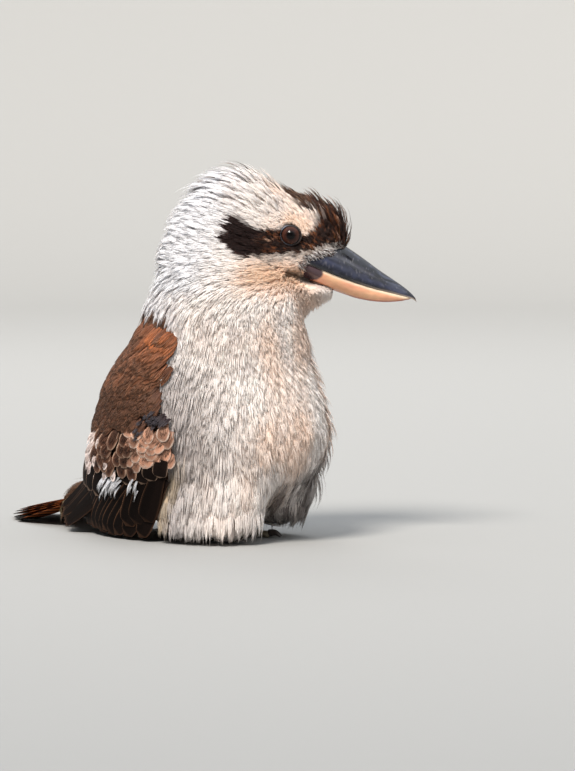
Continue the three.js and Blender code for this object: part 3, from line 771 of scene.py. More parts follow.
def wing_area(p):
    """Where the wing's own vanes cover the skin."""
    b = to_body(p)
    angle = round_angle(b)
    edge = wing_front(p[:, 2]) - mix(2.5, 1, smoothstep(95, 110, p[:, 2]))
    return (angle > edge) & (angle < 168) & (p[:, 2] < 134) & (p[:, 2] > 16) & (b[:, 0] > -84)


def bare_area(p):
    """The eye, the horn of the bill and what the wing's vanes cover."""
    h = to_head(p)
    x, y, z = h.T
    in_eye = (np.hypot(x, z) < LID_R + 0.3) & (np.abs(y) > 8)
    on_horn = (x > np.interp(z, *BILL_FEATHER_LINE.T) - 0.5) & (z < 3.3) & (z > HORN_LOW)
    return in_eye | (on_horn | (x > 37)) & (z > -36) | wing_area(p)


def feather_roots():
    """Roots over the whole skin, as many to a place as its sizes ask, none where bare or under a vane."""
    middle = skin_points[skin_faces].mean(1)
    length, width, _, locks, _ = coat_sizes(middle)
    per_area = COVERAGE / (0.6 * length * width * locks)
    wanted = per_area * skin_areas * ~bare_area(middle)
    total = np.cumsum(wanted) + rng.random()
    counts = np.floor(total) - np.floor(total - wanted)
    chosen = np.repeat(np.arange(len(middle)), counts.astype(int))
    s, t = rng.random(len(chosen))[:, None], rng.random(len(chosen))[:, None]
    corners = skin_faces[chosen].T
    quads = skin_points[corners], skin_normals[corners]
    root, normal = (mix(mix(a, b, s), mix(d, c, s), t) for a, b, c, d in quads)
    return root, unit(normal)


def feather_paths(root, normal, way, length, lift):
    """Three points and normals for each feather, which follows the skin and rises from it."""
    hangs = smoothstep(HEM_FROM, HEM_FROM - 14, root[:, 2]) * smoothstep(-0.75, -0.3, normal[:, 2])
    hangs = np.maximum(hangs, at_chin(to_head(root)))
    ragged = 0.72 + 0.34 * noise(root, 5, 12) + 0.08 * np.sin(root[:, 0] * 1.7)
    room = np.maximum(root[:, 2] - FLOOR_CLEAR, 2.0)
    length = mix(length, np.minimum(length, room * ragged), hangs)
    middle, middle_normal = settle(root + way * length[:, None] * 0.5)
    onward = flow(middle, middle_normal)
    onward = unit(onward + 0.6 * (way - dot(way, middle_normal) * middle_normal))
    tip, tip_normal = settle(middle + onward * length[:, None] * 0.5)
    middle = middle + middle_normal * lift[:, None] * 0.72
    tip = tip + tip_normal * lift[:, None]
    level = unit(normal * [1, 1, 0])
    down = unit(way * [0.6, 0.6, 1] + [0, 0, -0.6])
    free_middle = root + level * (0.6 + 0.4 * lift)[:, None] + down * length[:, None] * 0.5
    free_tip = free_middle + unit(down + [0, 0, -0.4] + level * 0.06) * length[:, None] * 0.5
    hung = hangs[:, None]
    points = np.stack([root - normal * 0.5, mix(middle, free_middle, hung), mix(tip, free_tip, hung)], 1)
    points[:, :, 2] += np.maximum(0, FLOOR_CLEAR - points[:, :, 2])
    normals = np.stack([normal, mix(middle_normal, level, hung), mix(tip_normal, level, hung)], 1)
    return points, normals


def on_path(values, t):
    """Values at a share t along three of them, as a smooth curve through all three."""
    a, b, c = values[:, 0], values[:, 1], values[:, 2]
    t = t[:, None]
    return a * (1 - t) * (1 - 2 * t) + b * 4 * t * (1 - t) + c * t * (2 * t - 1)


RINGS = {"long": ((0.0, 0.42, 0.76), (0.75, 1.0, 0.72)), "short": ((0.0, 0.55), (0.85, 1.0))}


def lock_mesh(kind, points, normals, across, scale, width, spread, gather, colour, tip_colour, uv_root,
              fade=(0.1, 0.85)):
    """Tapered three-sided locks. Each follows its feather's path, offset to one side."""
    places, widths = RINGS[kind]
    count, rings = len(points), len(places)
    each = rings * 3 + 1
    vertices = np.empty((count, each, 3))
    shade = np.empty((count, each, 3))
    uv = np.empty((count, each, 2))
    ahead = points[:, 2] - points[:, 0]
    for r, at in enumerate([*places, 1.0]):
        t = at * scale
        centre, up = on_path(points, t), unit(on_path(normals, t))
        side = unit(np.cross(ahead, up))
        offset = across * mix(0.3 + 0.9 * t - 0.35 * t * t, 0.62 - 0.5 * t, gather) * spread
        centre = centre + side * offset[:, None] - up * (across**2 * t * spread * 0.1)[:, None]
        tone = mix(colour, tip_colour, smoothstep(*fade, at))
        if r == rings:
            vertices[:, -1] = centre
            shade[:, -1] = tone
            uv[:, -1] = uv_root + [0.0015, 0.003]
            break
        half = (width * widths[r] / 2)[:, None]
        vertices[:, r * 3] = centre - side * half
        vertices[:, r * 3 + 1] = centre + up * half * 0.26
        vertices[:, r * 3 + 2] = centre + side * half
        shade[:, r * 3 : r * 3 + 3] = tone[:, None]
        for k in range(3):
            uv[:, r * 3 + k] = uv_root + [0.0015 * k, 0.003 * at]
    first = np.arange(count)[:, None] * each
    quads = []
    for r in range(0, rings * 3 - 3, 3):
        left, top, right = r, r + 1, r + 2
        quads += [
            [left, top, top + 3, left + 3],
            [top, right, right + 3, top + 3],
            [right, left, left + 3, right + 3],
        ]
    last = rings * 3 - 3
    tris = [[0, 2, 1]] + [[last + k, last + (k + 1) % 3, each - 1] for k in range(3)]
    quads = (first[:, :, None] + np.array(quads)[None]).reshape(-1, 4)
    tris = (first[:, :, None] + np.array(tris)[None]).reshape(-1, 3)
    shade = np.clip(shade, 0, 1)
    return vertices.reshape(-1, 3), [quads, tris], shade.reshape(-1, 3), uv.reshape(-1, 2)


def lock_object(name, points, polygons, colour, uv):
    """An object of locks whose backs are shaded apart from their fronts, so that these look softer."""
    thing = mesh_object(name, points, polygons, colour, uv)
    quads, tris = polygons
    flat = np.concatenate([np.arange(len(quads)) % 3 == 2, np.arange(len(tris)) % 4 % 3 == 0])
    thing.data.attributes.new("sharp_face", "BOOLEAN", "FACE").data.foreach_set("value", flat)
    return thing


PIECE_TRIANGLES = 195000
LOCK_TRIANGLES = {"long": 16, "short": 10}
JAGGED_AT = 38.0  # the breast's feathers stand off its outline round this angle from the front
LONG_FROM = 9.0  # feathers of this length and more have locks with three rings


def grow_coat(material):
    """The body's feathers, in pieces of locks. The random draws keep their order."""
    root, normal = feather_roots()
    order = np.argsort(-root[:, 2], kind="stable")
    root, normal = root[order], normal[order]
    height = root[:, 2]
    length, width, lift, locks, raised = coat_sizes(root)
    count = len(root)
    length = length * rng.uniform(0.82, 1.15, count)
    loose = rng.random(count)
    lift = mix(lift * rng.uniform(0.88, 1.12, count), length * (0.15 + 0.6 * loose**3), raised)
    lift = lift + 0.1 * length * loose**6
    clumps = smoothstep(0.6, 0.82, noise(root * [1, 1, 0.6], 11, 21)) * smoothstep(40, 60, height)
    lift = lift + 0.06 * length * clumps * (length > LONG_FROM)
    b = to_body(root)
    aside = np.abs(np.degrees(np.arctan2(b[:, 1], b[:, 0])) - JAGGED_AT)
    jagged = smoothstep(30, 14, aside) * smoothstep(28, 45, height) * smoothstep(140, 122, height)
    lift = lift + length * (0.02 + 0.3 * loose**2) * jagged
    length = length * (1 + 0.35 * raised * loose)
    way = flow(root, normal)
    way = unit(way + np.cross(normal, way) * rng.normal(0, 0.11, count)[:, None])
    points, normals = feather_paths(root, normal, way, length, lift)
    at_nape = smoothstep(-30, -60, to_head(root)[:, 0]) * smoothstep(140, 155, height)
    gather = np.maximum(np.maximum(raised, at_nape), 0.3) + smoothstep(30, 15, height)
    gather = np.clip(gather, 0, 1) * rng.uniform(0.5, 1, count)
    own = noise(root * [1, 1, 0.25], 2.4, 5)
    shown = mix(points[:, 1], points[:, 2], 0.35)
    colour, tip = plumage_colour(shown, np.clip(own * 0.6 + rng.random(count) * 0.4, 0, 1))
    bright = rng.uniform(0.96, 1.04, count)[:, None]
    colour, tip = colour * bright, tip * bright
    pieces = 0
    for kind in ("long", "short"):
        chosen = np.flatnonzero((length >= LONG_FROM) == (kind == "long"))
        feather = np.repeat(chosen, locks[chosen])
        rank = np.concatenate([np.linspace(-1, 1, n) for n in locks[chosen]])
        total = len(feather)
        scale = (1 - 0.28 * rank**2) * rng.uniform(0.66, 1.12, total)
        spread = (width * locks * 0.48)[feather] * rng.uniform(0.8, 1.2, total)
        varied = rng.uniform(0.94, 1.05, total)[:, None]
        uv = unwrap(root)[feather] + rng.uniform(-0.0006, 0.0006, (total, 2))
        jitter = rank + rng.normal(0, 0.14, total)
        step = PIECE_TRIANGLES // LOCK_TRIANGLES[kind]
        for start in range(0, total, step):
            cut = slice(start, start + step)
            f = feather[cut]
            made = lock_mesh(kind, points[f], normals[f], jitter[cut], scale[cut], width[f], spread[cut],
                             gather[f], colour[f] * varied[cut], tip[f] * varied[cut], uv[cut])
            pieces += 1
            finished(lock_object(f"coat_{pieces:02d}", *made), material, "white_plumage")


coat_material = painted_material("plumage", 0.62, 0.2, 900.0, 0.00015, glow=0.3)
skin_material = painted_material("skin_under_coat", 0.75, 0.2, 700.0, 0.0003)
skin_colour = plumage_colour(skin_points, noise(skin_points, 2.2, 5))[0]
skin = mesh_object("skin", skin_points, [skin_faces], skin_colour, unwrap(skin_points))
finished(skin, skin_material, "white_plumage", "torso", "neck", "head", "thigh_right", "thigh_left")
grow_coat(coat_material)


# Bill


BILL_ROWS, BILL_AROUND = 150, 88
NOSTRIL_AT = 39


def bill_half(upper):
    low, high = BILL[0, 0], BILL[-1, 0] if upper else BILL[-2, 0] + 0.6

    def place(share, angle):
        x = mix(low, high, share)
        mouth = along(BILL, BILL_MOUTH, x) + (0.12 if upper else -0.12)
        tall = along(BILL, BILL_TOP if upper else BILL_LOW, x) - mouth
        half = along(BILL, BILL_HALF, x) * (1 if upper else 0.94)
        c, s = np.cos(angle), np.sin(angle)
        rise = np.where(s > 0, np.abs(s) ** 0.9 * np.abs(tall), s * 0.08)
        across = half * np.sign(c) * np.abs(c) ** np.where(s > 0, 1.12, 0.7)
        pinch = smoothstep(0, 0.03, share) * smoothstep(1, 0.97, share)
        p = np.stack([x, across * pinch, mouth + np.sign(tall) * rise * pinch], -1)
        if upper:
            past = x - NOSTRIL_AT
            nostril = np.hypot(past / 4.2, (p[..., 2] + 2.6 + past * 0.28) / 1.1)
            p[..., 1] *= 1 - 0.16 * np.exp(-(nostril**2)) * (np.abs(p[..., 1]) > 4)
            groove = np.exp(-(((np.abs(s) ** 0.9 - 0.56) / 0.05) ** 2)) * smoothstep(76, 50, x) * (s > 0)
            p[..., 1] *= 1 - 0.05 * groove
        flat = p.reshape(-1, 3)
        grain = noise(flat * [0.12, 1, 1], 0.8, 15) + 0.6 * noise(flat * [0.5, 1, 1], 2.2, 16) - 0.8
        rough = 0.16 * grain.reshape(share.shape) * pinch * (np.abs(p[..., 1]) > 1)
        p[..., 1] += np.sign(p[..., 1]) * rough
        return p

    return lofted(BILL_ROWS, BILL_AROUND, place)


def bill_colour(h, upper):
    x, y, z = h.T
    streak = noise(h * [0.25, 1, 1], 0.9, 6)
    broad = noise(h * [0.4, 1, 1], 4, 7)
    mouth = along(BILL, BILL_MOUTH, x)
    if upper:
        share = (z - mouth) / (along(BILL, BILL_TOP, x) - mouth)
        # painted highlight in streaks along the culmen
        ridge = smoothstep(7, 3, np.abs(y)) * smoothstep(0.4, 0.8, noise(h * [0.12, 1.4, 1.4], 1.6, 14))
        # painted bluish sheen in a band along the side of the upper bill
        painted_sheen = np.exp(-(((share - 0.3) / 0.14) ** 2)) * (0.4 + 0.6 * streak)
        line = np.exp(-(((share - 0.6) / 0.035) ** 2)) * smoothstep(72, 50, x)
        chips = smoothstep(0.78, 0.86, noise(h * [0.6, 1, 1], 0.6, 17)) * smoothstep(0, 8, z + 16)
        edge = smoothstep(1.2, 0.2, np.abs(z - mouth)) * smoothstep(40, 70, x)
        return layered(
            mix(srgb(13, 13, 19), srgb(39, 41, 57), (smoothstep(0.45, 0.9, streak) * broad)[:, None]),
            # painted highlight along the culmen
            (srgb(90, 96, 120), ridge * 0.35),
            # painted sheen along the side
            (srgb(74, 79, 104), painted_sheen * 0.5),
            (srgb(120, 120, 130), line * 0.4),
            (srgb(150, 146, 150), chips * 0.22),
            (srgb(200, 180, 160), edge * 0.5),
        )
    patch = np.hypot((x - 18) / 9, (z + 17) / 6) + (broad - 0.5) * 0.3
    return layered(
        mix(srgb(236, 160, 128), srgb(246, 196, 150), broad[:, None]),
        (srgb(250, 226, 196), smoothstep(2.4, 0.6, mouth - z)),
        (srgb(150, 62, 40), smoothstep(1.5, 0.3, z - along(BILL, BILL_LOW, x)) * 0.85),
        (srgb(70, 50, 56), smoothstep(1.12, 0.9, patch)),
    )


def make_bill():
    horn = painted_material("bill_horn", 0.27, 0.5, 260.0, 0.00008, coat=0.3)
    for upper, name, slot in ((True, "bill_upper", "bill_dark"), (False, "bill_lower", "bill_pale")):
        points, faces = bill_half(upper)
        place = points[:, 0] / 100, np.arctan2(points[:, 1], points[:, 2] + 15) / 7 + 0.5
        colour = bill_colour(points, upper)
        thing = mesh_object(f"{name}_horn", from_head(points), faces, colour, np.stack(place, 1))
        finished(thing, horn, slot, name)


# Eyes

PUPIL_R = 2.5
IRIS_R = 5.5
LID_ROWS, LID_AROUND = 28, 72


def make_eye(side, sign, wet, lid_skin):
    """A brown iris round a black pupil, coloured by the distance to the eye's axis, and its lids."""

    def eyeball(share, angle):
        polar = math.pi * share
        r = EYE_R * np.sin(polar)
        out = EYE_R * np.cos(polar) + 0.35 * smoothstep(5, 0, r) * (share < 0.5)
        return np.stack([r * np.cos(angle), sign * (EYE_OUT + out), r * np.sin(angle)], -1)

    def lid(share, angle):
        tube = 2 * math.pi * share
        wrinkle = 0.07 * np.sin(tube * 5) + 0.06 * np.sin(angle * 46 + 2 * np.sin(tube))
        ring = LID_R - 0.15 + (0.62 + wrinkle) * np.cos(tube)
        out = EYE_OUT + 3.1 + (0.7 + wrinkle) * np.sin(tube) - 0.2 * np.cos(2 * angle)
        return np.stack([ring * np.cos(angle) * 1.05, sign * out, ring * np.sin(angle) * 0.94], -1)

    points, faces = lofted(48, 64, eyeball)
    r = np.hypot(points[:, 0], points[:, 2])
    fibre = noise(np.stack([np.arctan2(points[:, 0], points[:, 2]) * 6, r * 0.8, 0 * r], 1), 0.5, 8)
    colour = layered(
        mix(srgb(38, 20, 16), srgb(76, 45, 36), (smoothstep(2.6, 5.2, r) * (0.5 + 0.5 * fibre))[:, None]),
        (srgb(6, 4, 4), smoothstep(PUPIL_R + 0.3, PUPIL_R - 0.1, r)),
        (srgb(20, 12, 10), smoothstep(IRIS_R - 0.4, IRIS_R + 0.1, r)),
    )
    faces = [f[:, ::-sign] for f in faces]
    uv = points[:, [0, 2]] / 16 + 0.5
    eye = mesh_object(f"eyeball_{side}", from_head(points), faces, colour, uv)
    finished(eye, wet, "eye_dark", f"eye_{side}")
    share = np.arange(LID_ROWS)[:, None] / LID_ROWS + np.zeros((1, LID_AROUND))
    angle = np.arange(LID_AROUND)[None] / LID_AROUND * 2 * math.pi + 0 * share
    points = lid(share, angle).reshape(-1, 3)
    quads = grid_quads(LID_ROWS, LID_AROUND, True, True)[:, ::-sign]
    r = np.hypot(points[:, 0], points[:, 2])
    behind = smoothstep(2, -5, points[:, 0] + 0.6 * points[:, 2])
    colour = mix(srgb(26, 18, 17), srgb(74, 58, 54), smoothstep(6.1, 7.2, r)[:, None])
    colour = layered(colour, (srgb(132, 138, 154), behind * smoothstep(5.9, 6.6, r) * 0.85))
    uv = np.stack([angle.ravel() / 7, share.ravel()], 1)
    finished(mesh_object(f"eyelid_{side}", from_head(points), [quads], colour, uv), lid_skin, "eye_dark")


def make_eyes():
    wet = painted_material("eye_wet", 0.06, 0.16, 300.0, 0.00001, coat=0.05)
    lid_skin = painted_material("eyelid", 0.6, 0.35, 900.0, 0.0002)
    for side, sign in SIDES:
        make_eye(side, sign, wet, lid_skin)


# Vanes

ACROSS_WIDE = np.array([-1, -0.93, -0.8, -0.5, -0.1, 0, 0.1, 0.5, 0.8, 0.93, 1])
ACROSS_SMALL = np.array([-1, -0.72, 0, 0.72, 1])
VANE_THICK = 0.22


def vane_outline(t, full, root, blunt):
    """Half width of a vane along it, from 0 to 1: it widens to the share named full and ends round."""
    grown = mix(root, 1, smoothstep(0, full * 0.8, t))
    past = np.clip((t - full) / (1 - full), 0, 1)
    return grown * np.maximum(1 - past**blunt, 0.0) ** 0.5 + 0.02


def vane_faces(count, rows, columns):
    """The quads of closed vanes: their tops, their backs and the walls round them."""
    at = np.arange(rows * columns).reshape(rows, columns)
    rim = np.concatenate([at[0], at[1:, -1], at[-1, -2::-1], at[-2:0:-1, 0]])
    after = np.roll(rim, -1)
    top = grid_quads(rows, columns)[:, [0, 3, 2, 1]]
    walls = np.stack([rim, after, after + at.size, rim + at.size], -1)
    faces = np.concatenate([top, top[:, ::-1] + at.size, walls])
    return (faces[None] + (np.arange(count) * 2 * at.size)[:, None, None]).reshape(-1, 4)


def vane_mesh(name, path, up, width, look, rows=9, across=ACROSS_SMALL, full=0.55, root=0.45, blunt=2.2,
              camber=0.16, seeds=None, uv=None):
    """Closed thin vanes in one mesh. path is (count, 3 points, 3), up is (count, 2 ends, 3)."""
    count, columns = len(path), len(across)
    share = np.linspace(0, 1, rows) ** 0.9
    t = share[None, :, None]
    ends = [path[:, None, i] for i in range(3)]
    centre, ahead = curve(*ends, t), curve_way(*ends, t)
    facing = mix(up[:, None, 0], up[:, None, 1], t)
    facing = unit(facing - dot(facing, ahead) * ahead)
    side = np.cross(ahead, facing)
    half = (width[:, None] / 2 * vane_outline(share, full, root, blunt)[None])[:, :, None, None]
    s = across[None, None, :, None]
    ridge = 0.16 * np.exp(-((s / 0.12) ** 2)) * (1 - 0.8 * t[..., None])
    top = centre[:, :, None] + side[:, :, None] * s * half
    top = top + facing[:, :, None] * (ridge - camber * half * s * s)
    under = top - facing[:, :, None] * VANE_THICK * (1 - 0.6 * t[..., None])
    length = np.linalg.norm(path[:, 2] - path[:, 0], axis=1)[:, None, None]
    t, s, _ = np.broadcast_arrays(t, s[..., 0], length)
    seeds = rng.random(count) if seeds is None else seeds
    colour = look(t, s, seeds[:, None, None], top)
    barbs = np.stack([t * length - np.abs(s) * half[..., 0] * 1.3, s * half[..., 0]], -1)
    if uv is None:
        wide = int(math.ceil(math.sqrt(count)))
        cell = np.stack([np.arange(count) % wide, np.arange(count) // wide], -1)[:, None, None]
        flat = (cell + 0.05 + 0.9 * np.stack([(s + 1) / 2, t], -1)) / wide
    else:
        flat = uv[:, None, None] + np.stack([(s + 1) * 0.0015, t * 0.003], -1)
    faces = vane_faces(count, rows, columns)
    points, colour, flat, barbs = (
        np.stack(both, 1).reshape(-1, both[0].shape[-1])
        for both in ((top, under), (colour, colour * 0.8), (flat, flat), (barbs, barbs))
    )
    thing = mesh_object(name, points, [faces], np.clip(colour, 0, 1), flat)
    layer = thing.data.uv_layers.new(name="Barbs")
    layer.data.foreach_set("uv", barbs[faces.ravel()].astype(np.float32).ravel())
    return thing


def edged(t, s, width=0.1):
    """How near a place on a vane is to its outline, past the root."""
    beside = smoothstep(1 - width * 1.6, 1 - width * 0.4, np.abs(s)) * smoothstep(0.2, 0.6, t)
    return np.maximum(beside, smoothstep(1 - width, 1 - width * 0.3, t))[..., None]


def covert_look(base, edge, amount=1.0, width=0.1, shade=0.35, spread=0.4):
    """A small feather: darker along its shaft, with a pale edge."""

    def look(t, s, seed, place):
        tone = (1 + spread * (seed - 0.5))[..., None] * (1 - shade * np.exp(-((s / 0.5) ** 2)))[..., None]
        flat = place.reshape(-1, 3)
        lumps = noise(flat, 1.6, 9).reshape(t.shape)[..., None]
        broad = noise(flat, 7.0, 19).reshape(t.shape)[..., None]
        colour = base * tone * (0.55 + 0.4 * lumps + 0.5 * broad)
        return mix(colour, edge, edged(t, s, width) * amount * (0.5 + 0.5 * lumps))

    return look


def shoulder_look(base):
    """As the base look, with rufous feathers at the front of the shoulder."""

    def look(t, s, seed, place):
        b = to_body(place.reshape(-1, 3))
        amount = smoothstep(112, 130, b[:, 2]) * smoothstep(26, 8, round_angle(b) - wing_front(b[:, 2]))
        amount = amount.reshape(t.shape) * smoothstep(0.25, 0.6, seed) * smoothstep(0.2, 0.7, t)
        return mix(base(t, s, seed, place), RUFOUS * 1.25, amount[..., None] * 0.8)

    return look


def flight_look(t, s, seed, _):
    """A long wing feather: dark brown, darker on its inner web, with a fine buff edge."""
    tone = (0.85 + 0.3 * seed)[..., None] * mix(1.25, 0.7, smoothstep(-0.2, 0.2, s))[..., None]
    beside = smoothstep(0.9, 0.97, np.abs(s)) * smoothstep(0.02, 0.2, t)
    edge = np.maximum(beside[..., None] * 0.8, edged(t, s, 0.04)) * (0.15 + 0.6 * seed)[..., None]
    return mix(FLIGHT_DARK * tone, BROWN_LIGHT * 0.75, edge)


def tail_look(t, s, seed, _):
    """Rufous with dark bars, then a dark band and a white tip."""
    wave = np.sin(t * 14 * math.pi + 1.2 * np.abs(s) + 2 * seed)
    colour = RUFOUS * (0.75 + 0.3 * seed)[..., None]
    colour = mix(colour, BROWN_DARK * 0.7, smoothstep(-0.1, 0.35, wave)[..., None])
    colour = mix(colour, srgb(30, 20, 18), smoothstep(0.84, 0.87, t)[..., None])
    return mix(colour, WHITE * 0.9, smoothstep(0.915, 0.935, t)[..., None])


# Wings


def on_side(sign, points, up):
    """A curve through three points and its normals, made for the left wing and moved to one side."""
    path = np.stack([points[0], points[1] * 2 - (points[0] + points[2]) / 2, points[2]], 1)
    mirror = np.array([1, sign, 1])
    return from_body(path * mirror), (up * mirror) @ BODY_TURN.T


def round_way(angle):
    """The level way round the body at an angle."""
    return np.stack([-np.sin(angle), np.cos(angle), 0 * angle], -1)


def wing_out(angle, height):
    """How far the wing's plumage stands off the body at a place, with angles in degrees."""
    off = ((angle - WING_LENS["angle"]) / 50) ** 2 + ((height - WING_LENS["height"]) / 60) ** 2
    out = 2.2 + 5.2 * np.sqrt(np.clip(1 - off, 0, 1)) - 4.4 * smoothstep(118, 138, height)
    return out - 3.0 * smoothstep(14, 0, angle - wing_front(height)) * smoothstep(84, 100, height)


def vane_paths(sign, draw, angle, height, length, slant, width, lift=1.6):
    """Paths of feathers that lie over the wing from their roots. Slant turns them to the back."""
    count = len(angle)
    length = length * draw.uniform(0.88, 1.12, count)
    slant = np.radians(slant + draw.normal(0, 8, count))
    reach = 66 * math.pi / 180
    share, stand = np.array([[0.0, 0.5, 1.0], [-1.0, 0.5, 1.0]])[..., None]
    angles = np.clip(angle + share * length * np.sin(slant) / reach, 0, 179)
    heights = height - share * length * np.cos(slant)
    out = wing_out(angles, heights) + stand * lift * draw.uniform(0.7, 1.2, count)
    points = [shell(np.radians(a), z, o) for a, z, o in zip(angles, heights, out)]
    up = np.stack([shell_normal(np.radians(angles[k]), heights[k]) for k in (0, 2)], 1)
    up = up - draw.uniform(0.0, 0.16, count)[:, None, None] * round_way(np.radians(angle))[:, None]
    return *on_side(sign, points, up), width * draw.uniform(0.9, 1.1, count)


def rows_of(draw, heights, reach, gap):
    """Roots in level rows, each shifted by half a feather. reach(height) gives the angles between."""
    angle, height = [], []
    for k, z in enumerate(heights):
        front, back = reach(z)
        count = max(2, int(65 * math.radians(back - front) / gap))
        share = (np.arange(count) + 0.5 * (k % 2) + draw.normal(0, 0.18, count)) / count
        angle.append(mix(front, back, share))
        height.append(z + draw.normal(0, 1.2, count))
    return np.concatenate(angle), np.concatenate(height)


def tier(sign, draw, count, starts, ends, high, low, width, out, stand=0.8, sweep=1.0):
    """Long overlapping feathers in one row, with the angles and heights at its front and back."""
    share = np.clip((np.arange(count) + draw.normal(0, 0.12, count)) / (count - 1), 0, 1)
    a0, a1 = mix(*starts, share), np.minimum(mix(*ends, share**sweep), 178)
    z0, z1 = mix(*high, share), mix(*low, share) + draw.uniform(0, 2.4, count)
    points = []
    for t, lift in ((0.0, -1.0), (0.5, 0.3), (1.0, stand)):
        points.append(shell(np.radians(mix(a0, a1, t)), mix(z0, z1, t), np.full(count, out + lift)))
    a0, a1 = np.radians(a0), np.radians(a1)
    up = np.stack([shell_normal(a0, z0), shell_normal(a1, z1)], 1) - 0.13 * round_way(a1)[:, None]
    return *on_side(sign, points, up), width * draw.uniform(0.92, 1.08, count)


PRIMARIES = 7
PRIMARY_TIPS = (np.array([-101.0, 21, 4]), np.array([-114.0, 7, 15]))


def primary_paths(sign, draw):
    share = np.arange(PRIMARIES) / (PRIMARIES - 1)
    angle, height = np.radians(mix(122, 150, share)), mix(36, 42, share)
    root = shell(angle, height, np.full(PRIMARIES, 1.2))
    tip = mix(*PRIMARY_TIPS, share[:, None])
    tip[:, 0] += draw.uniform(-1.5, 1.5, PRIMARIES)
    control = shell(np.radians(mix(150, 164, share)), mix(18, 29, share), np.full(PRIMARIES, 3.5))
    up = np.stack([shell_normal(angle, height), np.tile([-0.1, 0.8, 0.6], (PRIMARIES, 1))], 1)
    middle = (control + (root + tip) / 2) / 2
    return *on_side(sign, [root, middle, tip], up), np.full(PRIMARIES, 10.0)


FAN = 9  # locks over each small wing feather


def fan_locks(name, made, look, draw, length, reach):
    """Fine locks over small vanes, as far as the share named reach, which break up their surface."""
    path, up, width = made
    count = len(path)
    middle = (path[:, 0] + 2 * path[:, 1] + path[:, 2]) / 4
    stand = up[:, 1] * 0.3
    points = np.stack([path[:, 0], middle + stand, path[:, 2] + stand * 1.6], 1)
    normals = np.stack([up[:, 0], up.mean(1), up[:, 1]], 1)
    f = np.repeat(np.arange(count), FAN)
    rank = np.tile(np.linspace(-1, 1, FAN), count) + draw.normal(0, 0.08, count * FAN)
    scale = (reach - 0.3 * rank**2) * draw.uniform(0.82, 1.05, len(f))
    seeds = draw.random(count)[f][:, None]
    place = middle[f][:, None]
    last = 0.97 if reach > 1 else 0.7
    root, tip = (look(0 * seeds + t, rank[:, None] * 0.8, seeds, place)[:, 0] for t in (0.4, last))
    varied = draw.uniform(0.75, 1.25, len(f))[:, None]
    uv = unwrap(path[:, 0])[f] + draw.uniform(-0.0006, 0.0006, (len(f), 2))
    parts = lock_mesh("long", points[f], normals[f], rank, scale, np.full(len(f), 0.06 * length + 0.35),
                      width[f] * 0.5, np.zeros(len(f)), root * varied, tip * varied, uv, (0.5, 1.0))
    finished(lock_object(name, *parts), coat_material, "brown_plumage")


